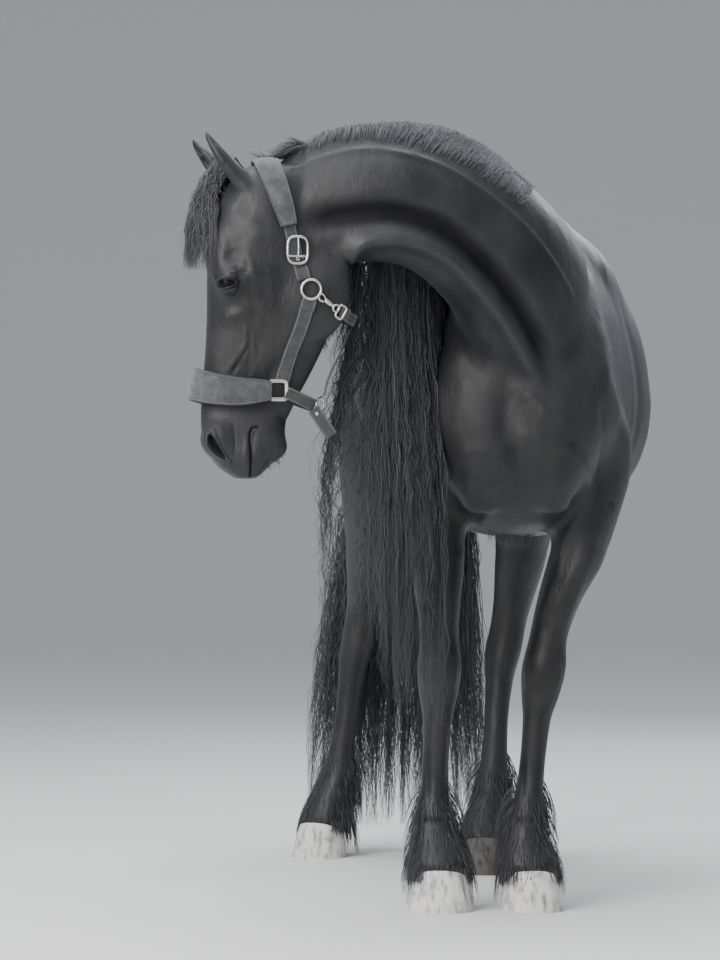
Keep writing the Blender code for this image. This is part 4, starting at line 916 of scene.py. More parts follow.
@dataclass
class Mane(Hair):
    """Long hair that roots at the crest, goes over it and falls on the far side."""

    label: str = "mane_hair"
    strands: int = 2600
    points: int = 23
    breadth: float = 0.0028
    clumps: int = 130
    gather: float = 0.26
    wave: float = 0.0065
    wave_length: float = 0.105
    frizz: float = 0.0034
    seed: int = 11
    rooted: tuple[float, float] = (0.25, 0.3)
    # Share of the way from withers to poll, and the root line in pixels
    root_line: tuple[Row, ...] = (
        (0.0, 524, 222), (0.17, 514, 215), (0.26, 503, 206), (0.35, 490, 197), (0.43, 475, 186),
        (0.52, 456, 176), (0.61, 436, 168), (0.7, 414, 161), (0.78, 391, 155), (0.87, 367, 152),
        (0.96, 330, 158), (1.0, 303, 166))
    rises: tuple[float, ...] = (0.006, 0.012, 0.018, 0.024)
    over: float = 0.06
    inner: float = 0.0
    # How far down to the root line the outer layers root
    near: float = 0.25
    length: Row = (0.44, 0.84)
    # The falling hair's middle x, how much wider it gets left and right, and between which heights
    spread: Row = (-0.316, 1.35, 0.38, 0.88, 1.38)
    # How many crest frames the hair leans back, and how many stay free at the withers
    slant: int = 5
    first: int = 3
    step: float = 0.03
    steps: int = 47
    kink: float = 0.045

    def crest(self, flesh: Flesh, fine: int = 8) -> list[tuple[Vector, Vector, Vector]]:
        """Points from withers to poll, each with its up and its outward line."""
        tops = [(centre + up * top, up) for centre, _, up, top, _, _ in flesh.neck_frames(fine)[fine:]]
        tops = tops[:-int(fine * 0.95)]
        line = []
        for k, (point, up) in enumerate(tops):
            along = heading([top for top, _ in tops], k)
            line.append((point, up, along.cross(up).normalized()))
        return line

    def over_crest(self, tree: BVHTree, top: tuple[Vector, Vector, Vector], root: Vector, inward: float,
                   rise: float) -> Path:
        """A guide from its root over the crest and down the far side.

        Args:
            tree: The skin.
            top: The crest's point, up and outward line.
            root: The near side's root.
            inward: Where it starts, as a share of the way from the root to the crest.
            rise: The room it keeps.

        Returns:
            The guide's points.
        """
        point, up, out = top
        corners = [tuple(root.lerp(point, inward * 1.3)), tuple(point), tuple(point + out * self.over)]
        if inward > 0.75:
            corners = corners[1:]
        line = resample([Vector(c) for c in corners], 0.012, 30)
        arc = []
        for k, spot in enumerate(line):
            near, normal, _, _ = tree.find_nearest(Vector(spot) + up * 0.03)
            lift = rise * sin(pi / 2 * min(k / 5, 1.0))
            arc.append(near + normal * (lift if k else -0.004))
            if (Vector(spot) - point).dot(out) > self.over * 0.9:
                break
        return arc + drape(tree, arc[-1], arc[-1] - arc[-2], self.steps, rise, ease=1)[1:]

    def guides(self, tree: BVHTree, flesh: Flesh) -> Array:
        """Guide lines set out by place along the crest, layer and step."""
        crest = self.crest(flesh)
        shares, xs, ys = np.array(self.root_line).T
        made = []
        for k in range(self.slant + self.first, len(crest)):
            share, top = k / (len(crest) - 1), crest[k - self.slant]
            root = sighted(tree, np.interp(share, shares, xs), np.interp(share, shares, ys)) or top[0]
            row = []
            for place, rise in enumerate(self.rises):
                inward = 1 - self.near * place / (len(self.rises) - 1)
                lift = rise * min(1.0, 0.35 + 2.5 * share)
                row.append(resample(self.over_crest(tree, top, root, inward, lift), self.step, self.steps))
            made.append(row)
        return np.array(made)

    def build(self, flesh: Flesh, unwrap: Unwrap) -> list[Piece]:
        """The mane's pieces."""
        tree = unwrap.tree
        rng = self.draws()
        grid = self.guides(tree, flesh)
        across = rng.random(self.strands)
        layer = self.inner + (1 - self.inner) * rng.random(self.strands) ** 0.8
        lengths = self.length[0] + self.length[1] * np.minimum(across * 2.0, 1.0)
        lengths = lengths * (1 - 0.1 * smooth_step(0.7, 0.9, across) - 0.6 * smooth_step(0.93, 1.0, across))
        lengths = lengths * (0.7 + 0.33 * rng.random(self.strands) ** 0.8)
        paths = self.cut(self.between(grid, across, layer), lengths, self.step)
        paths = self.gathered(paths, across, layer,
                              lambda u, v: self.cut(self.between(grid, u, v), lengths, self.step))
        middle, left, right, low, high = self.spread
        away = paths[..., 0] - middle
        paths[..., 0] += away * np.where(away < 0, left, right) * (1 - smooth_step(low, high, paths[..., 2]))
        rooms = np.tile(0.003 + 0.004 * layer[:, None], (1, self.points))
        paths = keep_clear(tree, paths, rooms)
        kinks = norm(np.diff(paths, 2, axis=1), axis=2).max(axis=1)
        return self.meshes(self.label, paths[kinks < self.kink], unwrap)


# The mane's outer hair, crimped as if it had been plaited
CRIMPED = dict(label="mane_crimp", strands=1060, points=55, breadth=0.0034, clumps=150, gather=0.3,
               wave=0.0056, wave_length=0.056, frizz=0.0014, seed=12, inner=0.45, rooted=(0.2, 0.12))

# Short hair that lies close along the crest
CREST = dict(label="mane_crest", strands=3900, points=5, breadth=0.0012, clumps=900, gather=0.1, wave=0.001,
             wave_length=0.05, frizz=0.0016, seed=13, length=(0.022, 0.052), near=1.0,
             rises=(0.006, 0.008, 0.008, 0.007), rooted=(0.5, 0.2), slant=3, first=1)


@dataclass
class Tufts(Hair):
    """Short hair that breaks the form at poll, ears, jaw, elbows, belly, knees and hocks."""

    frizz: float = 0.0013
    seed: int = 41
    # Hairs at the poll, which stand higher off the skin than the others do
    poll: int = 400
    raised: float = 0.013
    room: float = 0.002
    # Place, half sizes of the patch, heading, length, count
    rows: tuple[tuple[Row, Row, Row, float, int], ...] = (
        ((-0.02, 0.12, 0.845), (0.05, 0.05, 0.02), (0, 0.5, -1), 0.034, 120),
        ((-0.01, 0.42, 0.815), (0.03, 0.16, 0.02), (0, 0.7, -1), 0.034, 200),
        ((-0.03, 0.74, 0.855), (0.03, 0.14, 0.02), (0, 0.7, -1), 0.036, 200),
        ((0.175, 0.165, 0.93), (0.03, 0.03, 0.05), (0.1, 0.8, -1), 0.045, 110),
        ((-0.205, 0.165, 0.93), (0.03, 0.03, 0.05), (-0.1, 0.8, -1), 0.045, 110),
        ((0.044, 0.06, 0.49), (0.03, 0.01, 0.05), (0, 0.6, -1), 0.034, 110),
        ((-0.186, 0.06, 0.49), (0.03, 0.01, 0.05), (0, 0.6, -1), 0.034, 110),
        ((-0.01, 1.09, 0.52), (0.025, 0.01, 0.08), (0, 0.5, -1), 0.04, 110),
        ((-0.368, 1.4, 0.5), (0.025, 0.01, 0.08), (0, 0.5, -1), 0.04, 110))

    def build(self, flesh: Flesh, unwrap: Unwrap) -> list[Piece]:
        """The tufts' piece."""
        rng = self.draws()
        rows = list(self.rows)
        rows.append((in_head(-0.03, 0, -0.04), (0.04, 0.036, 0.01), FORWARD + DOWN * 0.15, 0.052, self.poll))
        rows.append((in_head(-0.13, 0, 0.35), (0.02, 0.05, 0.05), DOWN - FORWARD * 0.3, 0.014, 90))
        rows.append((in_head(0.0, 0, 0.64), (0.03, 0.03, 0.03), DOWN - FORWARD * 0.8, 0.02, 26))
        for side in Side:
            base, up, face, _ = flesh.ear_frame(side)
            rows.append((base + up * 0.045 + face * 0.03, (0.01, 0.01, 0.03), up + face * 0.4, 0.015, 60))
        paths = []
        for place, reach, heading, long, count in rows:
            room = self.raised if count == self.poll else self.room
            for shift in rng.uniform(-1, 1, (count, 3)) * np.array(reach):
                root, normal, _, _ = unwrap.tree.find_nearest(Vector(place) + Vector(shift))
                way = Vector(heading).normalized() + Vector(rng.normal(0, 0.28, 3))
                step = long * rng.uniform(0.55, 1.2) / (self.points - 1)
                start = root - normal * 0.002
                paths.append(drape(unwrap.tree, start, way, self.points - 1, room, 0.08, step, 2))
        made = np.array([[tuple(p) for p in path] for path in paths])
        made += rng.normal(0, self.frizz, made.shape) * np.linspace(0, 1, self.points)[None, :, None]
        return self.meshes("tufts", made, unwrap)


@dataclass
class Tail(Hair):
    """The full tail, falling from the dock almost to the ground."""

    strands: int = 2450
    points: int = 22
    breadth: float = 0.0034
    clumps: int = 75
    gather: float = 0.6
    wave: float = 0.013
    wave_length: float = 0.19
    frizz: float = 0.0028
    seed: int = 5
    foot: Row = (-0.265, 1.49)
    spread: Row = (0.243, 0.08)
    tips: Row = (0.06, 0.34)
    # Dock rows: centre and half size, from inside the croup down
    dock: tuple[Row, ...] = (
        (-0.16, 1.28, 1.455, 0.046), (-0.175, 1.34, 1.455, 0.046), (-0.185, 1.405, 1.41, 0.043),
        (-0.195, 1.445, 1.32, 0.038), (-0.205, 1.46, 1.2, 0.032), (-0.215, 1.465, 1.06, 0.026),
        (-0.225, 1.47, 0.92, 0.018))

    def dock_frames(self, steps: int = 8) -> list[tuple[Vector, Vector, Vector, float]]:
        """Centre, along, up and half size down the tail bone."""
        rows = catmull(self.dock, steps)
        frames = []
        for k, (x, y, z, half) in enumerate(rows):
            along = heading(rows, k)
            frames.append((Vector((x, y, z)), along, ACROSS.cross(along).normalized(), half))
        return frames

    def root_piece(self) -> Piece:
        """The fleshy dock under the hair."""
        rings = [oval(centre, Vector((1, 0, 0)), up, half * 0.94, half * 0.94, half * 0.94, 2.0, 20)
                 for centre, _, up, half in self.dock_frames(6)]
        return loft("dock", rings)

    def build(self, unwrap: Unwrap) -> list[Piece]:
        """The tail's pieces."""
        rng = self.draws()
        frames = self.dock_frames()
        first, last = 11, len(frames) - 1
        place = first + (last - first) * rng.random(self.strands) ** 1.15
        index = place.astype(int)
        turn = rng.uniform(0, tau, self.strands)
        centre = np.array([tuple(frames[i][0]) for i in index])
        along = np.array([tuple(frames[i][1]) for i in index])
        up = np.array([tuple(frames[i][2]) for i in index])
        half = np.array([frames[i][3] for i in index])
        out = np.array([[1.0, 0, 0]]) * np.cos(turn)[:, None] + up * np.sin(turn)[:, None]
        start = centre + out * (half * 0.8)[:, None]
        reach = rng.random(self.strands) ** 0.42
        across = 0.5 + 0.5 * np.cos(turn) * reach
        layer = 0.5 + 0.5 * np.sin(turn) * reach

        def line(u: Array, v: Array, tip: Array) -> Array:
            """Curves from the roots to the tail's foot."""
            foot = np.stack([self.foot[0] + self.spread[0] * (2 * u - 1),
                             self.foot[1] + self.spread[1] * (2 * v - 1), tip], axis=1)
            lift = start + out * 0.035 + along * 0.1
            low = np.stack([foot[:, 0] * 0.9 + start[:, 0] * 0.1, foot[:, 1] * 0.9 + start[:, 1] * 0.1,
                            start[:, 2] * 0.52 + tip * 0.48], axis=1)
            t = np.linspace(0, 1, self.points)[None, :, None]
            a, b, c, d = (p[:, None, :] for p in (start, lift, low, foot))
            return a * (1 - t) ** 3 + 3 * b * t * (1 - t) ** 2 + 3 * c * t * t * (1 - t) + d * t ** 3

        tips = self.tips[0] + (self.tips[1] - self.tips[0]) * rng.random(self.strands) ** 1.6
        paths = line(across, layer, tips)
        paths = self.gathered(paths, across, layer, lambda u, v: line(u, v, tips))
        rooms = np.full(paths.shape[:2], 0.006)
        paths = keep_clear(unwrap.tree, paths, rooms, start=2)
        paths[..., 2] = np.maximum(paths[..., 2], 0.012)
        return self.meshes("tail_hair", paths, unwrap)


@dataclass
class Forelock(Hair):
    """The tuft that falls from between the ears over the brow."""

    strands: int = 1800
    points: int = 13
    breadth: float = 0.0019
    clumps: int = 44
    gather: float = 0.34
    wave: float = 0.004
    wave_length: float = 0.07
    frizz: float = 0.0022
    seed: int = 23
    reach: float = 1.15

    def build(self, unwrap: Unwrap) -> list[Piece]:
        """The forelock's piece."""
        rng = self.draws()
        rows = ((0.045, 0.134, 0.024), (0.1, 0.163, 0.055), (0.165, 0.172, 0.076), (0.225, 0.176, 0.086))
        guides = []
        for k in range(9):
            side = (k / 4 - 1) * self.reach
            lines = []
            for lift in (-0.004, 0.007, 0.018):
                path = [in_head(0.066, side * 0.026, 0.016), in_head(0.094 + lift, side * 0.03, -0.004)]
                path += [in_head(out + lift - 0.068 * side * side * (wide / 0.086), side * wide, down)
                         for down, out, wide in rows]
                lines.append([tuple(p) for p in catmull(path, 5)])
            guides.append(lines)
        grid = np.array(guides)
        step = float(norm(np.diff(grid[4, 1], axis=0), axis=1).mean())
        across = np.clip(rng.normal(0.5, 0.25, self.strands), 0, 0.9)
        layer = rng.random(self.strands)
        lengths = step * (grid.shape[2] - 1) * rng.uniform(0.7, 1.03, self.strands)
        paths = self.cut(self.between(grid, across, layer), lengths, step)
        paths = self.gathered(paths, across, layer,
                              lambda u, v: self.cut(self.between(grid, u, v), lengths, step))
        rooms = np.tile(0.002 + 0.01 * layer[:, None], (1, self.points))
        paths = keep_clear(unwrap.tree, paths, rooms, start=2)
        return self.meshes("forelock_hair", paths, unwrap)


@dataclass
class Feather(Hair):
    """The bell of hair round a pastern, the long hair behind it and the fringe over the hoof."""

    strands: int = 800
    points: int = 7
    breadth: float = 0.0017
    clumps: int = 26
    gather: float = 0.5
    wave: float = 0.0025
    wave_length: float = 0.07
    frizz: float = 0.0011
    seed: int = 31
    fringe: int = 380
    behind: int = 420
    # How far round the leg each kind grows, in degrees, and how much sparser the bell is at the back
    turns: Row = (180, 180, 100)
    thin_behind: float = 0.35

    def root(self, kind: int, turn: float, layer: float) -> tuple[float, float, float, float]:
        """Where a hair grows and how it lies.

        Args:
            kind: 0 for the bell, 1 for the fringe, 2 for the long hair behind.
            turn: The way out from the leg, 0 straight back.
            layer: From 0 to 1, low to high.

        Returns:
            Height, length, how far it stands out and its room from the skin.
        """
        back = max(cos(turn), 0.0)
        if kind == 0:
            return (0.092 + 0.17 * layer ** 1.5, 0.036 + 0.055 * back, 0.08 + 0.5 * back,
                    0.001 + (0.002 + 0.006 * back) * layer)
        if kind == 1:
            return 0.078 + 0.022 * layer, 0.03 + 0.01 * layer, 0.2, 0.002 + 0.002 * layer
        return 0.11 + 0.18 * layer ** 1.3, 0.095 + 0.055 * back, 0.35 + 0.35 * back, 0.004 + 0.012 * layer

    def build(self, name: str, rows: tuple[Row, ...], degrees: float, unwrap: Unwrap) -> list[Piece]:
        """The feather of one leg.

        Args:
            name: The leg's name.
            rows: The leg's rows.
            degrees: The way that its hoof points.
            unwrap: The skin's map.

        Returns:
            The leg's pieces of hair.
        """
        rng = self.draws(len(name) * 3)
        fine = catmull(rows, 6)
        kinds = [0] * self.strands + [1] * self.fringe + [2] * self.behind
        paths = np.empty((len(kinds), self.points, 3))
        for i, kind in enumerate(kinds):
            turn = 2 * rng.random() - 1
            turn *= radians(self.turns[kind]) * (abs(turn) ** self.thin_behind if kind == 0 else 1)
            angle = radians(degrees) + turn
            out = Vector((-sin(angle), cos(angle), 0))
            rise, length, stand, room = self.root(kind, turn, rng.random())
            row = fine[np.abs(fine[:, 2] - rise).argmin()]
            root, normal, _, _ = unwrap.tree.find_nearest(Vector((row[0], row[1], rise)) + out * 0.07)
            length *= rng.uniform(0.7, 1.1)
            sway = Vector((out.y, -out.x, 0)) * rng.normal(0, 0.18)
            hang = drape(unwrap.tree, root - normal * 0.002, out * stand + sway + DOWN, self.points - 1, room,
                         0.25, length / (self.points - 1), 2)
            paths[i] = [tuple(p) for p in hang]
        share = np.linspace(0, 1, self.points)
        paths += rng.normal(0, self.frizz, paths.shape) * share[None, :, None]
        paths[..., 2] = np.maximum(paths[..., 2], 0.006)
        return self.meshes(f"feather_{name}", paths, unwrap)


# Skin detail
@dataclass
class Features:
    """Finer work on the skin: lids, nostrils, lips and wrinkles."""

    lid: float = 0.0024
    opening: tuple[float, float] = (0.0192, 0.0094)
    reach: float = 0.036
    gaze: float = 25.0
    # The nostril: its middle, its upper and lower ends, half width and depth
    nostril: tuple[Row, Row, Row] = ((0.127, 0.058, 0.604), (0.14, 0.05, 0.58), (0.112, 0.056, 0.632))
    nostril_half: float = 0.008
    nostril_depth: float = 0.02

    def eye_axes(self, side: Side) -> tuple[Array, Array, Array, Array]:
        """The eye's centre, its gaze, its long line and the line down across it."""
        f, l, d = EYE_PLACE
        turn = radians(self.gaze)
        out = LEFTWARD * side.value * cos(turn) + FORWARD * sin(turn)
        long = out.cross(DOWN).normalized()
        if long.dot(FORWARD) < 0:
            long = -long
        return tuple(np.array(v) for v in (in_head(f, l * side.value, d), out, long, DOWN))

    def refine(self, skin: Piece, spots: Sequence[tuple[Vector, float, int]]) -> None:
        """Smaller faces near each spot: its place, its reach and how often edges are halved."""
        bm = bmesh.new()
        bm.from_mesh(skin.data)
        bmesh.ops.triangulate(bm, faces=bm.faces)
        for centre, reach, rounds in spots:
            for k in range(rounds):
                near = reach * (1 - 0.12 * k)
                edges = [e for e in bm.edges if all((v.co - centre).length < near for v in e.verts)]
                bmesh.ops.subdivide_edges(bm, edges=edges, cuts=1, smooth=0.0)
                bmesh.ops.triangulate(bm, faces=bm.faces)
                relax(bm, [v for v in bm.verts if (v.co - centre).length < near * 0.96])
        bm.to_mesh(skin.data)
        bm.free()

    def lids(self, skin: Piece) -> None:
        """The lids drawn over each ball, with an almond opening."""
        points, _ = coordinates(skin.data)
        wide, high = self.opening
        for side in Side:
            centre, out, long, down = self.eye_axes(side)
            away = points - centre
            radius = norm(away, axis=1)
            near = (radius < self.reach * 1.3) & (away @ out > -0.004)
            ways = away[near] / np.maximum(radius[near, None], 1e-6)
            u, v = ways @ long * EYE_RADIUS, ways @ down * EYE_RADIUS - 0.0012
            v = v - 0.1 * u
            bow = np.where(v < 0, high * 1.02, high * 0.92)
            almond = np.sqrt((u / wide) ** 2 + (v / bow) ** 2)
            weight = 1 - smooth_step(1.35, 2.3, almond)
            heavy = np.where(v < 0, 0.0012 * np.exp(-((almond - 1.3) / 0.35) ** 2), 0.0)
            rim = self.lid * (1 + 0.45 * np.exp(-((almond - 1.12) / 0.14) ** 2)) + heavy
            hugging = EYE_RADIUS + rim
            target = radius[near] * (1 - weight) + hugging * weight
            inside = 1 - smooth_step(0.95, 1.05, almond)
            target = target * (1 - inside) + (EYE_RADIUS - 0.003) * inside
            points[near] = centre + ways * target[:, None]
        set_points(skin.data, points)

    def nostrils(self, skin: Piece) -> None:
        """Both nostrils as pockets with a rounded rim, and painted shade inside them."""
        tree = surface_tree(skin)
        points, _ = coordinates(skin.data)
        shade = shade_of(skin.data)
        for side in Side:
            spots = [in_head(f, l * side.value, d) for f, l, d in self.nostril]
            middle, top, low = (tree.find_nearest(spot)[0] for spot in spots)
            normal = tree.find_nearest(middle)[1]
            long = (low - top).normalized()
            normal = (normal - long * normal.dot(long)).normalized()
            wide = np.array(long.cross(normal)) * side.value
            away = points - np.array(middle)
            near = norm(away, axis=1) < 0.045
            half = (low - top).length / 2 + 0.003
            u = away[near] @ np.array(long) / half
            v = away[near] @ wide + 0.0035 * (u * u - 0.4)
            breadth = self.nostril_half * (1 - 0.38 * np.clip(u, -1, 1))
            round_off = np.sqrt(u ** 2 + (v / breadth) ** 2)
            sunk = 1 - smooth_step(0.62, 1.1, round_off)
            rim = np.exp(-((round_off - 1.42) / 0.3) ** 2) * 0.003
            way = np.array(normal) * 0.75 + np.array(DOWN) * 0.45
            points[near] += rim[:, None] * np.array(normal) - sunk[:, None] * way * self.nostril_depth
            # painted shade inside the nostril pocket
            shade[near] += sunk
        give(skin.data, "shade", shade)
        set_points(skin.data, points)

    def strokes(self) -> list[Stroke]:
        """Fine lines: lid folds, lips, chin, veins and creases."""
        return both_sides([
            ([(126, 90, 247), (108, 108, 239), (92, 112, 238.5), (76, 108, 248)], 2.2, 1.9),
            ([(128, 88, 241), (110, 106, 232.5), (92, 112, 231.5), (70, 108, 243)], 3.4, -2),
            ([(122, 94, 273), (106, 108, 279), (90, 112, 278.5), (78, 110, 272)], 2, 1.4),
            ([(124, 90, 279), (106, 106, 285.5), (88, 110, 285), (70, 108, 274)], 2.6, -1.3),
            ([(120, 92, 286), (104, 106, 293), (84, 108, 291)], 2.2, 1.1),
            ([(116, 90, 297), (100, 102, 305), (80, 104, 300)], 2.8, 0.8),
            ([(33, 58, 558), (44, 59, 558), (51.6, 58, 566), (54, 56, 600), (53, 46, 640),
             (53, 20, 664)], 2.1, 5),
            ([(28, 56, 552), (40, 58, 550), (50, 58, 556)], 3, -1.4),
            ([(62, 56, 570), (65, 53, 610), (64, 44, 650)], 4.5, -1.2),
            ([(90, 66, 545), (86, 66, 585), (90, 58, 625)], 4, 1.2),
            ([(55, 72, 345), (48, 70, 400), (52, 62, 455), (70, 56, 510)], 3.2, -1.8),
            ([(48, 70, 400), (30, 64, 430), (18, 60, 470)], 2.8, -1.4),
            ([(66, 70, 340), (66, 70, 385), (85, 66, 412), (104, 62, 442)], 3.4, -2.6),
            ([(60, 70, 345), (59, 70, 388), (78, 66, 418), (96, 62, 446)], 3.4, 2),
            ([(18, 70, 385), (27, 68, 402), (42, 64, 430), (44, 60, 460)], 3.6, -2),
            ([(60, 90, 205), (50, 92, 250), (46, 90, 300)], 5, -1.4),
            ([(20, 94, 220), (12, 94, 270), (12, 90, 320)], 6, -1.6),
            ([(85, 82, 305), (60, 80, 315), (40, 78, 335)], 3.5, 1.2),
            ([(40, 85, 285), (36, 85, 330), (40, 80, 380)], 3, -1.2),
            ([(20, 30, 650), (10, 36, 620), (5, 40, 590)], 4, 1)])

    def work(self, skin: Piece) -> None:
        """All of the finer work."""
        spots = [(in_head(0.03, 0.0, 0.36), 0.34, 1)]
        for side in Side:
            f, l, d = EYE_PLACE
            spots.append((in_head(f, l * side.value, d), self.reach, 2))
            spots.append((in_head(0.126, 0.055 * side.value, 0.606), 0.046, 1))
            spots.append((in_head(0.05, 0.052 * side.value, 0.61), 0.054, 1))
        self.refine(skin, spots)
        self.lids(skin)
        self.nostrils(skin)
        Strokes.lay(skin, self.strokes())


@dataclass
class Lashes(Hair):
    """The lashes along the upper lids."""

    strands: int = 46
    breadth: float = 0.0007
    seed: int = 71
    length: float = 0.015

    def build(self, side: Side, features: Features, unwrap: Unwrap) -> list[Piece]:
        """The lashes of one eye."""
        rng = self.draws()
        centre, out, long, down = features.eye_axes(side)
        wide, high = features.opening
        paths = np.empty((self.strands, self.points, 3))
        for i, share in enumerate(np.linspace(-0.92, 0.8, self.strands)):
            angle = acos(share)
            u, v = wide * share * 1.04, -high * 1.04 * sin(angle) + 0.0012 + 0.1 * wide * share
            way = out * sqrt(max(EYE_RADIUS ** 2 - u * u - v * v, 1e-6)) + long * u + down * v
            start = centre + way / norm(way) * (EYE_RADIUS + features.lid * 0.7)
            lean = out * 0.9 + long * (share * 0.5 + rng.normal(0, 0.12)) + down * rng.uniform(0.35, 0.6)
            length = self.length * rng.uniform(0.7, 1.1) * (1 - 0.3 * abs(share))
            t = np.linspace(0, 1, self.points)[:, None]
            paths[i] = start + (lean * t + (-down * 0.3) * t * t) * length
        return self.meshes(f"lashes_{side.word}", paths, unwrap)


# Hooves and eyes
@dataclass
class Hoof:
    """One hoof, flat on the ground, with the rings of its growth."""

    name: str
    place: Row
    degrees: float
    half: float
    height: float = 0.08
    levels: tuple[Row, ...] = ((0.0, 0.985, 0.0, 0.0), (0.03, 1.0, 0.0, 0.01), (0.45, 0.935, 0.008, 0.18),
                               (0.9, 0.84, 0.015, 0.36), (0.98, 0.78, 0.016, 0.38), (1.0, 0.6, 0.017, 0.38))

    def build(self) -> Piece:
        """The hoof."""
        angle = radians(self.degrees)
        toe = Vector((sin(angle), -cos(angle), 0))
        side = Vector((cos(angle), sin(angle), 0))
        x, y = self.place
        rings = []
        for share, size, back, tilt in catmull(self.levels, 6):
            share = max(share, 0.0)
            ripple = 1 + 0.006 * sin(share * 46) * (0.1 < share < 0.9)
            centre = Vector((x, y, self.height * share * 0.86)) - toe * back
            half = self.half * size * ripple
            ring = oval(centre, side, toe, half, half * 1.1, half * 0.92, 2.3, 56)
            rings.append([p + Vector((0, 0, tilt * (p - centre).dot(toe))) for p in ring])
        for p in rings[0]:
            p.z = 0.0
        return loft(f"hoof_{self.name}", rings)


HOOVES = (Hoof("fore_left", (0.02, -0.045), 2, 0.07), Hoof("fore_right", (-0.18, -0.05), -6, 0.073),
          Hoof("hind_left", (-0.06, 0.85), -4, 0.066), Hoof("hind_right", (-0.462, 1.285), -24, 0.066))


def eyeball(side: Side, features: Features) -> Piece:
    """One eyeball with a raised front, and how far its points lie from the pupil."""
    centre, out, long, down = features.eye_axes(side)
    bpy.ops.mesh.primitive_uv_sphere_add(segments=48, ring_count=32, radius=EYE_RADIUS)
    obj = bpy.context.active_object
    turn = Matrix((long, down, np.cross(long, down))).transposed().to_4x4()
    obj.data.transform(Matrix.Translation(Vector(centre)) @ turn)
    points, _ = coordinates(obj.data)
    away = (points - centre) / EYE_RADIUS
    front = np.clip(away @ out, 0, 1)
    points = points + np.outer(smooth_step(0.72, 0.92, front) * 0.0009, out)
    set_points(obj.data, points)
    for name, axis, size in (("gaze_long", long, 0.64), ("gaze_down", down, 0.6)):
        values = np.where(away @ out > 0, away @ axis / size, 9.0)
        give(obj.data, name, values)
    return obj


# Halter
def skin_point(tree: BVHTree, point: Vector, room: float, loose: float = 0.03) -> tuple[Vector, Vector]:
    """The nearest place over the skin with its outward line, or the point itself where it hangs."""
    near, normal, _, distance = tree.find_nearest(point)
    if distance < loose:
        return near + normal * room, normal
    return point, (point - near).normalized()


WEBBING_PROFILE = ((-0.5, 0.2), (-0.5, 0.8), (-0.47, 1.0), (-0.36, 1.0), (-0.12, 1.0), (0.12, 1.0),
                   (0.36, 1.0), (0.47, 1.0), (0.5, 0.8), (0.5, 0.2), (0.47, 0.0), (0.16, 0.0), (-0.16, 0.0),
                   (-0.47, 0.0))
FELT_PROFILE = ((-0.47, 0.1), (-0.505, 0.32), (-0.515, 0.55), (-0.495, 0.8), (-0.46, 0.84), (-0.435, 0.66),
                (-0.4, 0.74), (-0.3, 0.97), (-0.12, 1.08), (0.12, 1.08), (0.3, 0.97), (0.4, 0.74),
                (0.435, 0.66), (0.46, 0.84), (0.495, 0.8), (0.515, 0.55), (0.505, 0.32), (0.47, 0.1),
                (0.42, 0.0), (0.16, 0.0), (-0.16, 0.0), (-0.42, 0.0))


@dataclass
class Strap:
    """A strap laid over the skin along a path in the head's frame, in millimetres."""

    name: str
    path: list[Row]
    width: float
    thick: float
    room: float = 0.0025
    snug: bool = True
    steps: int = 10
    profile: tuple[Row, ...] = WEBBING_PROFILE
    ends: float = 0.0
    face: Row | None = None
    nodes: tuple[str, ...] = ()

    def build(self, tree: BVHTree) -> Piece:
        """The strap, mapped in metres."""
        points = [Vector(p) for p in catmull([in_head(*p) for p in metres(self.path)], self.steps)]
        count = len(points)
        middle = sum(points, Vector()) / count
        ends = self.ends or self.width
        rings, breadths = [], []
        for k, point in enumerate(points):
            along = heading(points, k)
            breadth = ends + (self.width - ends) * sin(pi * k / (count - 1))
            breadths.append(breadth)
            spot, normal = skin_point(tree, point, self.room)
            if not self.snug:
                spot, normal = point, (point - middle).normalized()
            if self.face:
                normal = in_head(*self.face) - HEAD_ORIGIN
            normal = (normal - along * normal.dot(along)).normalized()
            side = along.cross(normal).normalized()
            ring = []
            for share, rise in self.profile:
                corner, lift = spot + side * breadth * share, normal
                if self.snug:
                    corner, lift = skin_point(tree, corner, self.room)
                ring.append(corner + lift * self.thick * rise)
            rings.append(ring)
        for _ in range(3 if self.snug else 0):
            rings = [rings[0]] + [[(a + b * 2 + c) / 4 for a, b, c in zip(*three)]
                                  for three in zip(rings, rings[1:], rings[2:])] + [rings[-1]]
        obj = loft(self.name, rings)
        self.map(obj, points, breadths)
        return obj

    def map(self, obj: Piece, points: Path, breadths: list[float]) -> None:
        """A map across and along the strap, and how far its points lie from the edge."""
        run = np.concatenate([[0], np.cumsum([(b - a).length for a, b in zip(points, points[1:])])])
        count = len(self.profile)
        layer = obj.data.uv_layers.new(name="weave")
        for loop in obj.data.loops:
            ring, place = divmod(loop.vertex_index, count)
            layer.data[loop.index].uv = (self.profile[place][0] * breadths[ring], run[ring])
        edge = [(0.5 - abs(share)) * breadth for breadth in breadths for share, _ in self.profile]
        give(obj.data, "edge", edge)


def wire_loop(name: str, centre: Vector, across: Vector, along: Vector, half_across: float, half_along: float,
              wire: float, square: float = 2.0, points: int = 56, around: int = 12) -> Piece:
    """A loop of wire: a ring, or a frame with rounded corners."""
    across = across.normalized()
    along = (along - across * along.dot(across)).normalized()
    out = across.cross(along)
    rings = []
    for k in range(points):
        angle = tau * (k + 0.5) / points
        spoke = (across * power(cos(angle), 2 / square) * half_across
                 + along * power(sin(angle), 2 / square) * half_along)
        lean = (across * cos(angle) + along * sin(angle)).normalized()
        rings.append([centre + spoke + lean * wire * cos(tau * n / around)
                      + out * wire * sin(tau * n / around) for n in range(around)])
    return loft(name, rings, closed=True)


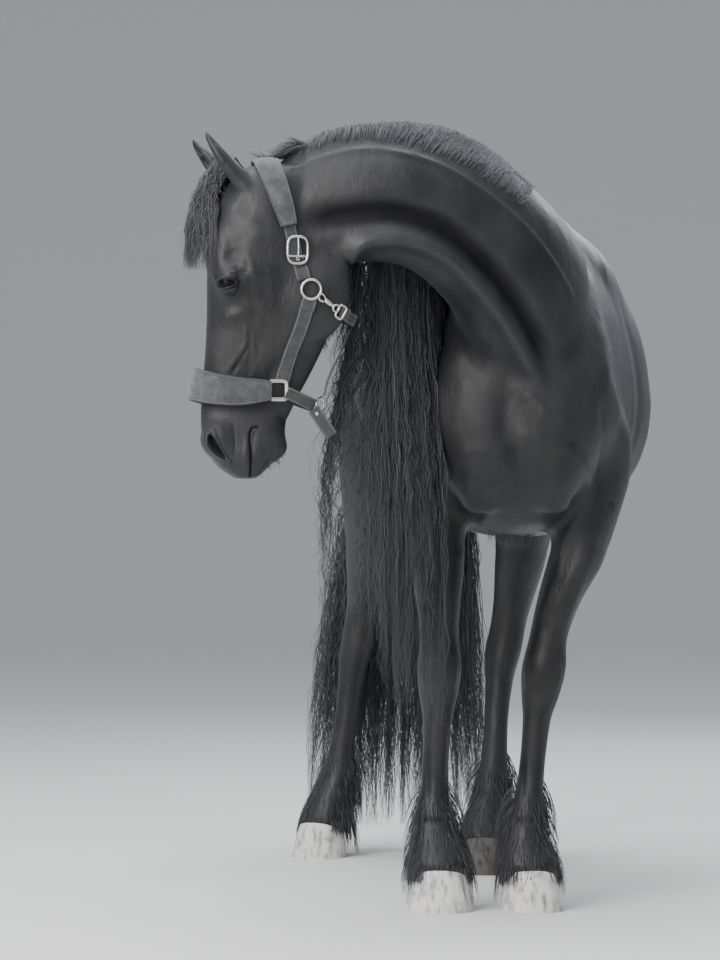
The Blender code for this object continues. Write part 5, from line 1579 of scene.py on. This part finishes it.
def rod(name: str, path: Sequence[Vector], sizes: Sequence[float], around: int = 14) -> Piece:
    """A round bar along a path, with a radius at each point."""
    rows = catmull([(*p, r) for p, r in zip(path, sizes)], 6)
    rings = []
    last = len(rows) - 1
    side = Vector((0, 0, 1)).cross(Vector(path[-1]) - Vector(path[0]))
    side = side.normalized() if side.length > 1e-6 else Vector((1, 0, 0))
    for k, (x, y, z, radius) in enumerate(rows):
        ahead = heading(rows, k)
        across = (side - ahead * side.dot(ahead)).normalized()
        size = radius * (0.55 if k in (0, last) else 1.0)
        rings.append(oval(Vector((x, y, z)), across, ahead.cross(across), size, size, size, 2.0, around))
    return loft(name, rings)


def mirrored(path: list[Row]) -> list[Row]:
    """A path's left half and the same on the right."""
    return path + [(f, -l, d) for f, l, d in reversed(path) if abs(l) > 1e-6]


@dataclass
class Halter:
    """The padded halter, without a lead."""

    webbing: float = 0.003
    felt: float = 0.01
    pad: float = 0.008
    wire: float = 0.003

    def middle_straps(self) -> list[tuple[Strap, str]]:
        """The straps across the head, with their slots."""
        crown = [(-24, 97, 138), (-14, 95, 105), (0, 85, 65), (16, 58, 18),
                 (22, 0, 0)]
        nose = [(14, 69, 482), (45, 76, 483), (85, 77, 484), (134, 62, 478),
                (165, 24, 469)]
        throat = [(-134, 75, 319), (-160, 45, 330), (-168, 15, 334)]
        jaw = [(-158, 0, 352), (-138, 0, 400), (-112, 0, 455), (-104, 0, 490)]
        tab = [(-80, 24, 520), (-99, 26, 548), (-119, 28, 577)]
        return [
            (Strap("crown", mirrored(crown), 0.052, self.pad, 0.0055, profile=FELT_PROFILE, ends=0.036,
                   nodes=("halter_crown",)), "felt"),
            (Strap("noseband", mirrored(nose), 0.067, self.felt, snug=False, profile=FELT_PROFILE, ends=0.04,
                   nodes=("halter_noseband",)), "felt"),
            (Strap("throat", mirrored(throat), 0.024, self.webbing, 0.0035, nodes=("halter_throat",)),
             "webbing"),
            (Strap("jaw", jaw, 0.024, self.webbing, nodes=("halter_jaw",)), "webbing"),
            (Strap("tab", tab, 0.026, self.webbing, snug=False, face=(0, 1, 0), nodes=("halter_tab",)),
             "webbing")]

    def side_straps(self, side: Side) -> list[tuple[Strap, str]]:
        """The straps of one side, folded back over the metal."""
        s, word = side.value, side.word
        rows = [("headpiece", [(-14, 90, 90), (-30, 100, 145), (-40, 100, 195),
                               (-55, 100, 250)], 0.027, 0.002, ()),
                ("fold_top", [(-48, 100, 226), (-54, 100, 250)], 0.029, 0.0052, ()),
                ("billet", [(-36, 100, 165), (-41, 100, 190), (-45, 100, 212)], 0.024, 0.005, ()),
                ("cheek", [(-66, 90, 292), (-42, 80, 375), (-13, 60, 466)], 0.029, 0.0025,
                 (f"halter_cheek_{word}",)),
                ("fold_cheek", [(-66, 90, 292), (-60, 90, 315)], 0.031, 0.0054, ()),
                ("fold_low", [(-20, 65, 440), (-13, 60, 466)], 0.031, 0.0054, ()),
                ("fold_throat", [(-134, 75, 319), (-152, 58, 326)], 0.026, 0.0064, ())]
        made = [(Strap(f"{name}_{word}", [(f, l * s, d) for f, l, d in path], width, self.webbing, room,
                       nodes=nodes), "webbing") for name, path, width, room, nodes in rows]
        chin = [(-20, 62 * s, 486), (-50, 46 * s, 499), (-82, 16 * s, 512)]
        made.append((Strap(f"chin_{word}", chin, 0.026, self.webbing, snug=False,
                           nodes=(f"halter_chin_{word}",)), "webbing"))
        return made

    def buckle(self, tree: BVHTree, side: Side) -> Piece:
        """A frame with its bar, its tongue and an eyelet."""
        spot, normal = skin_point(tree, in_head(-0.039, 0.09 * side.value, 0.19), 0.0135)
        across = normal.cross(DOWN).normalized()
        frame_loop = wire_loop("frame", spot, across, DOWN, 0.0225, 0.028, self.wire, 3.2)
        down = (DOWN - normal * DOWN.dot(normal)).normalized()
        low = spot + down * 0.013
        bar = rod("bar", [low - across * 0.022, low, low + across * 0.022], (0.0022, 0.0022, 0.0022))
        raised = normal * 0.0035
        tip = spot - down * 0.0285 + raised
        tongue = rod("tongue", [low + raised, spot + raised * 1.4, tip], (0.0021, 0.0019, 0.0016))
        eyelet = wire_loop("eyelet", spot + down * 0.019 + normal * 0.0005, across, down, 0.003, 0.003,
                           0.0011, points=24, around=8)
        return join([frame_loop, bar, tongue, eyelet], f"buckle_{side.word}")

    def snap(self, tree: BVHTree, side: Side) -> Piece:
        """A snap hook: hook, gate, barrel and swivel eye."""
        s = side.value

        def over(f: float, l: float, d: float, room: float) -> Vector:
            """A place over the skin."""
            return skin_point(tree, in_head(f, l * s, d), room)[0]

        start, end = over(-0.083, 0.09, 0.283, 0.011), over(-0.126, 0.082, 0.3135, 0.011)
        along = (end - start).normalized()
        normal = skin_point(tree, (start + end) / 2, 0.01)[1]
        normal = (normal - along * normal.dot(along)).normalized()
        across = along.cross(normal)
        length = (end - start).length
        bend = [start + along * (share * length) + across * out for share, out in
                ((0.34, 0.005), (0.16, 0.0066), (0.001 / length, 0.0), (0.1, -0.006), (0.26, -0.0056))]
        hook = rod("hook", bend, (0.0026, 0.0026, 0.0026, 0.0025, 0.0018))
        gate = rod("gate", [start + along * (0.24 * length) - across * 0.005,
                            start + along * (0.42 * length)], (0.0016, 0.0018))
        barrel = rod("barrel", [start + along * (share * length) for share in (0.32, 0.44, 0.58, 0.7, 0.74)],
                     (0.0046, 0.0056, 0.0056, 0.0042, 0.005))
        eye = wire_loop("eye", start + along * (0.9 * length), across, along, 0.0072, 0.0062, 0.002, 2.6, 36,
                        10)
        return join([hook, gate, barrel, eye], f"snap_{side.word}")

    def metal(self, tree: BVHTree) -> list[tuple[Piece, tuple[str, ...]]]:
        """All the metal, with the nodes that it stands for."""
        ring = wire_loop("ring_chin", in_head(-0.096, 0.004, 0.51), FORWARD * 0.6 + LEFTWARD * 0.8, DOWN,
                         0.0155, 0.0155, self.wire)
        made = [(ring, ("halter_ring_chin",))]
        rivet = wire_loop("rivet", in_head(-0.087, 0.0293, 0.53), FORWARD, DOWN, 0.0026, 0.0026, 0.0014,
                          points=24, around=8)
        made.append((rivet, ()))
        for side in Side:
            s, word = side.value, side.word
            spot, normal = skin_point(tree, in_head(-0.069, 0.09 * s, 0.272), 0.008)
            across = normal.cross(DOWN)
            made.append((wire_loop(f"ring_{word}", spot, across, DOWN, 0.0205, 0.0205, self.wire),
                         (f"halter_ring_{word}",)))
            spot, normal = skin_point(tree, in_head(-0.004, 0.06 * s, 0.482), 0.011)
            across = normal.cross(DOWN)
            outer = wire_loop("outer", spot, across, DOWN, 0.0195, 0.0205, self.wire, 5.5)
            low = spot - normal * 0.0016
            inner = wire_loop("inner", low, across, DOWN, 0.0165, 0.0175, self.wire * 0.8, 5.5)
            made.append((join([outer, inner], f"square_{word}"), (f"halter_square_{word}",)))
            spot, normal = skin_point(tree, in_head(-0.1335, 0.078 * s, 0.3185), 0.009)
            long = in_head(-0.14, 0.07 * s, 0.322) - in_head(-0.12, 0.08 * s, 0.31)
            keeper = wire_loop(f"keeper_{word}", spot, long, normal.cross(long), 0.009, 0.014, 0.0026, 4.5)
            made.append((keeper, ()))
            made.append((self.buckle(tree, side), (f"halter_buckle_{word}",)))
            made.append((self.snap(tree, side), (f"halter_snap_{word}",)))
        return made


# Finishes
class Nodes:
    """A material's nodes, made and joined in short lines."""

    def __init__(self, name: str) -> None:
        """A fresh material with its shader."""
        self.material = bpy.data.materials.new(name)
        self.material.use_nodes = True
        self.tree = self.material.node_tree
        self.shader = self.tree.nodes["Principled BSDF"]

    def add(self, kind: str, settings: dict | None = None, **inputs: object) -> bpy.types.Node:
        """A node with its settings and its inputs, values or sockets."""
        node = self.tree.nodes.new(kind)
        for key, value in (settings or {}).items():
            setattr(node, key, value)
        for key, value in inputs.items():
            self.put(node, key, value)
        return node

    def put(self, node: bpy.types.Node, key: str, value: object) -> None:
        """One input set to a value or joined to a socket."""
        number = key[0] == "i" and key[1:].isdigit()
        socket = node.inputs[int(key[1:]) if number else key.replace("_", " ")]
        if isinstance(value, Socket):
            self.tree.links.new(value, socket)
        else:
            socket.default_value = value

    def dress(self, **inputs: object) -> Material:
        """The shader's inputs set, and the material."""
        for key, value in inputs.items():
            self.put(self.shader, key, value)
        return self.material

    def field(self, name: str) -> Socket:
        """The piece's own attribute."""
        return self.add("ShaderNodeAttribute", {"attribute_name": name}).outputs["Fac"]

    def math(self, work: str, first: Socket, second: object = 0.5) -> Socket:
        """A sum done on one or two values."""
        return self.add("ShaderNodeMath", {"operation": work}, i0=first, i1=second).outputs[0]

    def places(self, scale: Row = (1, 1, 1)) -> Socket:
        """Object coordinates, stretched."""
        spot = self.add("ShaderNodeTexCoord").outputs["Object"]
        return self.add("ShaderNodeMapping", Vector=spot, Scale=scale).outputs[0]

    def noise(self, scale: float, detail: float, vector: Socket) -> Socket:
        """Noise from 0 to 1."""
        return self.add("ShaderNodeTexNoise", Vector=vector, Scale=scale, Detail=detail).outputs["Fac"]

    def span(self, value: Socket, low: float, high: float, start: float = 0.0,
             end: float = 1.0) -> Socket:
        """A value moved from one span to another."""
        return self.add("ShaderNodeMapRange", Value=value, From_Min=start, From_Max=end, To_Min=low,
                        To_Max=high).outputs[0]

    def mix(self, share: Socket, first: Row, second: Row) -> Socket:
        """A colour between two others."""
        node = self.add("ShaderNodeMix", {"data_type": "RGBA"})
        self.put(node, "i0", share)
        for index, colour in ((6, first), (7, second)):
            value = colour if isinstance(colour, Socket) else (*colour, 1.0)
            self.put(node, f"i{index}", value)
        return node.outputs[2]

    def bump(self, height: Socket, strength: float, distance: float,
             under: Socket | None = None) -> Socket:
        """A normal pushed about by a height."""
        node = self.add("ShaderNodeBump", Height=height, Strength=strength, Distance=distance)
        if under is not None:
            self.put(node, "Normal", under)
        return node.outputs[0]


@dataclass(frozen=True)
class Coat:
    """Short glossy black hair that lies flat, with painted shade in its grooves and painted highlight on its
    ridges.
    """

    dark: Row = (0.0065, 0.0064, 0.007)
    light: Row = (0.0165, 0.0165, 0.0185)
    dusty: Row = (0.029, 0.0285, 0.03)
    # painted highlight, laid on raised ridges
    raised: Row = (0.0335, 0.0333, 0.0355)
    roughness: tuple[float, float] = (0.38, 0.6)

    def make(self) -> Material:
        """The material."""
        n = Nodes("coat")
        broad = n.noise(3.2, 4.0, n.places())
        streak = n.noise(240.0, 3.0, n.places((1.0, 0.5, 0.22)))
        fine = n.noise(640.0, 2.0, n.places((1.0, 0.6, 0.22)))
        folds = n.noise(26.0, 4.0, n.places((1.0, 0.8, 0.6)))
        blotch = n.noise(11.0, 5.0, n.places((1.0, 1.0, 0.7)))
        colour = n.mix(n.span(broad, 0.0, 1.0, 0.32, 0.68), self.dark, self.light)
        colour = n.mix(n.span(blotch, 0.0, 0.55, 0.4, 0.66), colour, self.dusty)
        shade = n.field("shade")
        # painted highlight: ridges lightened towards the raised colour
        colour = n.mix(n.span(shade, 0.35, 0.0, -0.9, -0.15), colour, self.raised)
        # painted shade: grooves darkened towards the dark tone
        colour = n.mix(n.span(shade, 0.0, 0.75, 0.1, 1.0), colour, self.dark)
        normal = n.bump(blotch, 0.35, 0.012)
        normal = n.bump(folds, 0.55, 0.0055, normal)
        normal = n.bump(streak, 0.36, 0.0014, normal)
        normal = n.bump(fine, 0.45, 0.0007, normal)
        # painted shade also weakens the reflection in grooves
        return n.dress(Base_Color=colour, Roughness=n.span(blotch, *self.roughness, 0.3, 0.7), Normal=normal,
                       Specular_IOR_Level=n.span(shade, 0.32, 0.06, 0.1, 1.0), Sheen_Weight=0.04,
                       Sheen_Roughness=0.45, Sheen_Tint=(0.62, 0.7, 0.84, 1))


@dataclass(frozen=True)
class LongHair:
    """Black strands, some lighter, dark at the root and paler at the tips."""

    name: str = "hair"
    dark: Row = (0.0095, 0.0095, 0.0108)
    light: Row = (0.064, 0.065, 0.073)
    faded: Row = (0.068, 0.064, 0.062)

    def make(self) -> Material:
        """The material."""
        n = Nodes(self.name)
        tone = n.field("tone")
        along = n.field("along")
        steep = n.math("POWER", tone, 1.6)
        colour = n.mix(steep, self.dark, self.light)
        colour = n.mix(n.span(along, 0.75, 0.0, 0.0, 0.16), colour, self.dark)
        colour = n.mix(n.span(along, 0.0, 0.5, 0.35, 1.0), colour, self.faded)
        return n.dress(Base_Color=colour, Roughness=n.span(tone, 0.42, 0.6), Sheen_Weight=0.14,
                       Sheen_Roughness=0.4, Sheen_Tint=(0.6, 0.68, 0.84, 1))


@dataclass(frozen=True)
class Horn:
    """Hoof horn, dusty over its own tone, with streaks and rings of growth."""

    name: str
    base: Row
    dust: Row

    def make(self) -> Material:
        """The material."""
        n = Nodes(self.name)
        rings = n.noise(16.0, 3.0, n.places((0.4, 0.4, 9.0)))
        grain = n.noise(90.0, 4.0, n.places((1.0, 1.0, 0.1)))
        patch = n.noise(30.0, 5.0, n.places())
        streaks = n.span(grain, 0.1, 1.0, 0.3, 0.5)
        share = n.math("MULTIPLY", streaks, n.span(patch, 0.35, 1.0, 0.3, 0.5))
        normal = n.bump(rings, 0.6, 0.002)
        normal = n.bump(grain, 0.5, 0.0012, normal)
        return n.dress(Base_Color=n.mix(share, self.base, self.dust), Roughness=n.span(patch, 0.66, 0.9),
                       Normal=normal)


@dataclass(frozen=True)
class EyeFinish:
    """A near black iris with a level pupil."""

    iris: Row = (0.005, 0.0036, 0.003)
    white: Row = (0.006, 0.005, 0.005)
    pupil: Row = (0.0012, 0.0012, 0.0018)

    def make(self) -> Material:
        """The material."""
        n = Nodes("eye")
        long = n.field("gaze_long")
        down = n.field("gaze_down")
        both = n.add("ShaderNodeCombineXYZ", X=long, Y=down).outputs[0]
        far = n.add("ShaderNodeVectorMath", {"operation": "LENGTH"}, i0=both).outputs["Value"]
        flat = n.add("ShaderNodeVectorMath", {"operation": "MULTIPLY"}, i0=both).outputs[0]
        flat.node.inputs[1].default_value = (1.5, 2.6, 1.0)
        slot = n.add("ShaderNodeVectorMath", {"operation": "LENGTH"}, i0=flat).outputs["Value"]
        colour = n.mix(n.span(far, 0.0, 1.0, 0.92, 1.08), self.iris, self.white)
        colour = n.mix(n.span(slot, 1.0, 0.0, 0.92, 1.05), colour, self.pupil)
        return n.dress(Base_Color=colour, Roughness=0.42, Specular_IOR_Level=0.1)


@dataclass(frozen=True)
class Cloth:
    """Felt or woven webbing, with a stitched line along each edge."""

    name: str
    dark: Row
    light: Row
    thread: Row
    rib: float
    fuzz: float
    bound: float = 0.0
    inset: tuple[float, float] = (0.0016, 0.0032)

    def wave(self, n: Nodes, value: Socket, length: float) -> Socket:
        """A wave along a value in metres."""
        turns = n.math("MULTIPLY", value, tau / length)
        return n.math("SINE", turns)

    def stitches(self, n: Nodes, edge: Socket, along: Socket) -> Socket:
        """One where a stitch lies."""
        low, high = self.inset
        inside = n.span(edge, 0.0, 1.0, low - 0.0003, low)
        short = n.span(edge, 1.0, 0.0, high, high + 0.0003)
        line = n.math("MULTIPLY", inside, short)
        dash = n.span(self.wave(n, along, 0.0048), 0.25, 1.0, -0.5, -0.2)
        return n.math("MULTIPLY", line, dash)

    def make(self) -> Material:
        """The material."""
        n = Nodes(self.name)
        uv = n.add("ShaderNodeUVMap", {"uv_map": "weave"}).outputs[0]
        parts = n.add("ShaderNodeSeparateXYZ", Vector=uv)
        across, along = parts.outputs[0], parts.outputs[1]
        weave = n.math("MULTIPLY", self.wave(n, along, 0.0026), self.wave(n, across, 0.0022))
        fluff = n.noise(620.0, 4.0, n.places())
        worn = n.noise(45.0, 3.0, n.places())
        share = n.math("MULTIPLY", n.span(fluff, 0.2, 1.0, 0.3, 0.7), n.span(worn, 0.4, 1.0, 0.35, 0.65))
        edge = n.field("edge")
        stitch = self.stitches(n, edge, along)
        colour = n.mix(share, self.dark, self.light)
        colour = n.mix(n.span(edge, self.bound, 0.0, 0.003, 0.0042), colour, self.dark)
        colour = n.mix(stitch, colour, self.thread)
        normal = n.bump(n.span(weave, 0.0, 1.0, -1.0, 1.0), self.rib, 0.0006)
        normal = n.bump(fluff, self.fuzz, 0.0014, normal)
        normal = n.bump(n.noise(150.0, 3.0, n.places()), self.fuzz * 0.5, 0.0024, normal)
        normal = n.bump(stitch, 0.6, 0.0006, normal)
        return n.dress(Base_Color=colour, Roughness=0.92, Normal=normal, Sheen_Weight=0.2,
                       Sheen_Roughness=0.5)


@dataclass(frozen=True)
class Metal:
    """Nickel plate, a little worn."""

    colour: Row = (0.62, 0.61, 0.58)

    def make(self) -> Material:
        """The material."""
        n = Nodes("nickel")
        wear = n.noise(60.0, 4.0, n.places())
        dull = n.noise(240.0, 3.0, n.places())
        worn = tuple(v * 0.72 for v in self.colour)
        return n.dress(Base_Color=n.mix(n.span(dull, 0.0, 1.0, 0.35, 0.7), self.colour, worn), Metallic=1.0,
                       Roughness=n.span(wear, 0.2, 0.44))


@dataclass(frozen=True)
class Ground:
    """The pale studio floor."""

    colour: Row = (0.56, 0.56, 0.55)

    def make(self) -> Material:
        """The material."""
        n = Nodes("studio_floor")
        return n.dress(Base_Color=(*self.colour, 1), Roughness=0.95)


# Studio
@dataclass
class Studio:
    """A pale floor that rises all round, soft lights and the camera."""

    picture_height: float = 960.0
    flat: float = 15.0
    wall_out: float = 9.0
    wall_high: float = 11.0
    wall_steps: int = 20

    def floor(self) -> Piece:
        """A round floor with its rim drawn up in a quarter curve."""
        bpy.ops.object.select_all(action="DESELECT")
        bpy.ops.mesh.primitive_circle_add(vertices=128, radius=self.flat, fill_type="NGON")
        obj = bpy.context.active_object
        obj.name = "floor"
        bpy.ops.object.mode_set(mode="EDIT")
        bpy.ops.mesh.select_mode(type="EDGE")
        radius, height = self.flat, 0.0
        for k in range(self.wall_steps + 1):
            angle = pi / 2 * k / self.wall_steps
            wide = self.flat + 0.3 + self.wall_out * sin(angle)
            high = self.wall_high * (1 - cos(angle))
            bpy.ops.mesh.select_all(action="DESELECT")
            bpy.ops.mesh.select_non_manifold()
            bpy.ops.mesh.extrude_edges_move(TRANSFORM_OT_translate={"value": (0, 0, high - height)})
            bpy.ops.transform.resize(value=(wide / radius, wide / radius, 1), center_override=(0, 0, 0))
            radius, height = wide, high
        bpy.ops.mesh.select_all(action="SELECT")
        bpy.ops.mesh.normals_make_consistent(inside=True)
        bpy.ops.object.mode_set(mode="OBJECT")
        smooth_faces(obj)
        return obj

    def light(self, name: str, place: Row, at: Row, size: float, power_watts: float, colour: Row) -> None:
        """One soft square light that faces a point."""
        bpy.ops.object.light_add(type="AREA", location=Vector(place) + PLACE)
        lamp = bpy.context.active_object
        lamp.name = name
        lamp.data.size = size
        lamp.data.energy = power_watts
        lamp.data.color = colour
        lamp.rotation_euler = (Vector(at) - Vector(place)).to_track_quat("-Z", "Y").to_euler()

    def build(self) -> None:
        """Floor, lights, sky and camera."""
        floor = self.floor()
        floor.data.materials.append(Ground().make())
        self.light("key", (-3.0, -4.2, 3.9), (-0.45, -0.3, 1.3), 3.4, 310, (1.0, 0.985, 0.96))
        self.light("face", (-1.5, -2.6, 1.75), (-0.6, -0.6, 1.35), 1.3, 46, (1.0, 0.99, 0.97))
        self.light("fill", (2.6, -5.4, 2.4), (-0.2, 0.0, 1.1), 4.0, 28, (0.95, 0.97, 1.0))
        self.light("top", (-0.6, 0.4, 5.6), (-0.2, 0.3, 1.0), 4.5, 440, (0.95, 0.975, 1.0))
        self.light("rim", (2.0, 5.4, 4.0), (-0.1, 0.5, 1.1), 3.0, 130, (0.93, 0.96, 1.0))
        world = bpy.data.worlds.new("studio")
        world.use_nodes = True
        world.node_tree.nodes["Background"].inputs["Color"].default_value = (0.88, 0.92, 0.97, 1)
        world.node_tree.nodes["Background"].inputs["Strength"].default_value = 0.75
        bpy.context.scene.world = world
        bpy.ops.object.camera_add(location=CAMERA_PLACE + PLACE, rotation=(radians(90), 0, 0))
        camera = bpy.context.active_object
        camera.data.sensor_width = 36.0
        camera.data.lens = FOCAL_PIXELS / self.picture_height * 36.0
        camera.data.clip_end = 100.0
        bpy.context.scene.camera = camera


FLESH_NODES = (["torso", "neck", "head"] + [f"ear_{side.word}" for side in Side]
               + [f"{part}_{leg}" for part in ("upper", "lower")
                  for leg in ("fore_left", "fore_right", "hind_left", "hind_right")])


def thin(obj: Piece, triangles: int) -> None:
    """Fewer triangles, kept where the form turns most."""
    mod = obj.modifiers.new("thin", "DECIMATE")
    mod.ratio = min(1.0, triangles / (2.0 * len(obj.data.polygons)))
    apply_modifiers(obj)


@dataclass
class Mare:
    """The whole mare, dressed piece by piece."""

    flesh: Flesh = field(default_factory=Flesh)
    features: Features = field(default_factory=Features)
    tail: Tail = field(default_factory=Tail)

    def __post_init__(self) -> None:
        """The finishes."""
        self.coat = Coat().make()
        self.hair = LongHair().make()
        # the crest's hair is black like the mane; this lighter copy is painted sheen, the light that the fuzzy
        # crest hair catches from above
        self.crest = LongHair("crest_hair", (0.03, 0.031, 0.035), (0.12, 0.124, 0.138),
                              (0.13, 0.132, 0.14)).make()
        self.eye = EyeFinish().make()
        self.pale_horn = Horn("hoof", (0.17, 0.165, 0.16), (0.6, 0.59, 0.565)).make()
        self.dark_horn = Horn("dark_hoof", (0.016, 0.015, 0.015), (0.075, 0.07, 0.065)).make()
        self.felt = Cloth("felt", (0.017, 0.018, 0.021), (0.1, 0.103, 0.11), (0.1, 0.1, 0.105), 0.0, 1.0,
                          0.8).make()
        self.webbing = Cloth("webbing", (0.016, 0.0165, 0.019), (0.06, 0.062, 0.07), (0.12, 0.12, 0.125),
                             0.9, 0.4).make()
        self.nickel = Metal().make()

    def skin(self) -> Unwrap:
        """The skin, under the flesh's surface by the coat's depth."""
        skin = self.flesh.build()
        points, normals = coordinates(skin.data)
        set_points(skin.data, points - normals * self.flesh.sunk)
        thin(skin, self.flesh.faces)
        self.features.work(skin)
        unwrap = Unwrap(skin)
        finish_piece(skin, "skin", self.coat, "coat", FLESH_NODES)
        return unwrap

    def hang(self, pieces: list[Piece], nodes: Sequence[str] = ()) -> None:
        """Pieces of long hair finished, the first of them for the nodes."""
        for k, piece in enumerate(pieces):
            finish_piece(piece, piece.name, self.hair, "hair", nodes if k == 0 else ())

    def long_hair(self, unwrap: Unwrap) -> None:
        """Mane, tail, forelock, feathers and lashes."""
        self.hang(Mane().build(self.flesh, unwrap), ["mane"])
        self.hang(Mane(**CRIMPED).build(self.flesh, unwrap))
        for piece in Mane(**CREST).build(self.flesh, unwrap):
            finish_piece(piece, piece.name, self.crest, "hair")
        self.hang(Tufts().build(self.flesh, unwrap))
        self.hang(self.tail.build(unwrap), ["tail"])
        self.hang([self.tail.root_piece()])
        self.hang(Forelock().build(unwrap), ["forelock"])
        for hoof in HOOVES:
            self.hang(Feather().build(hoof.name, self.flesh.legs[hoof.name], hoof.degrees, unwrap))
        for side in Side:
            self.hang(Lashes().build(side, self.features, unwrap))

    def horn_and_eyes(self) -> None:
        """The four hooves and both eyes."""
        for hoof in HOOVES:
            dark = hoof.name == "hind_left"
            finish_piece(hoof.build(), f"horn_{hoof.name}", self.dark_horn if dark else self.pale_horn,
                         "dark_hoof" if dark else "hoof", [f"hoof_{hoof.name}"])
        for side in Side:
            finish_piece(eyeball(side, self.features), f"eyeball_{side.word}", self.eye, "eye",
                         [f"eye_{side.word}"])

    def halter(self, unwrap: Unwrap) -> None:
        """Straps and metal."""
        halter = Halter()
        straps = halter.middle_straps() + halter.side_straps(Side.LEFT) + halter.side_straps(Side.RIGHT)
        for strap, slot in straps:
            cloth = self.felt if slot == "felt" else self.webbing
            finish_piece(strap.build(unwrap.tree), f"{strap.name}_strap", cloth, slot, strap.nodes)
        for obj, nodes in halter.metal(unwrap.tree):
            finish_piece(obj, f"{obj.name}_metal", self.nickel, "nickel", nodes)


def main() -> None:
    """Every piece, in order."""
    logging.basicConfig(level=logging.INFO, format="%(name)s %(message)s")
    mare = Mare()
    unwrap = mare.skin()
    mare.long_hair(unwrap)
    mare.horn_and_eyes()
    mare.halter(unwrap)
    Studio().build()


if __name__ == "__main__":
    main()
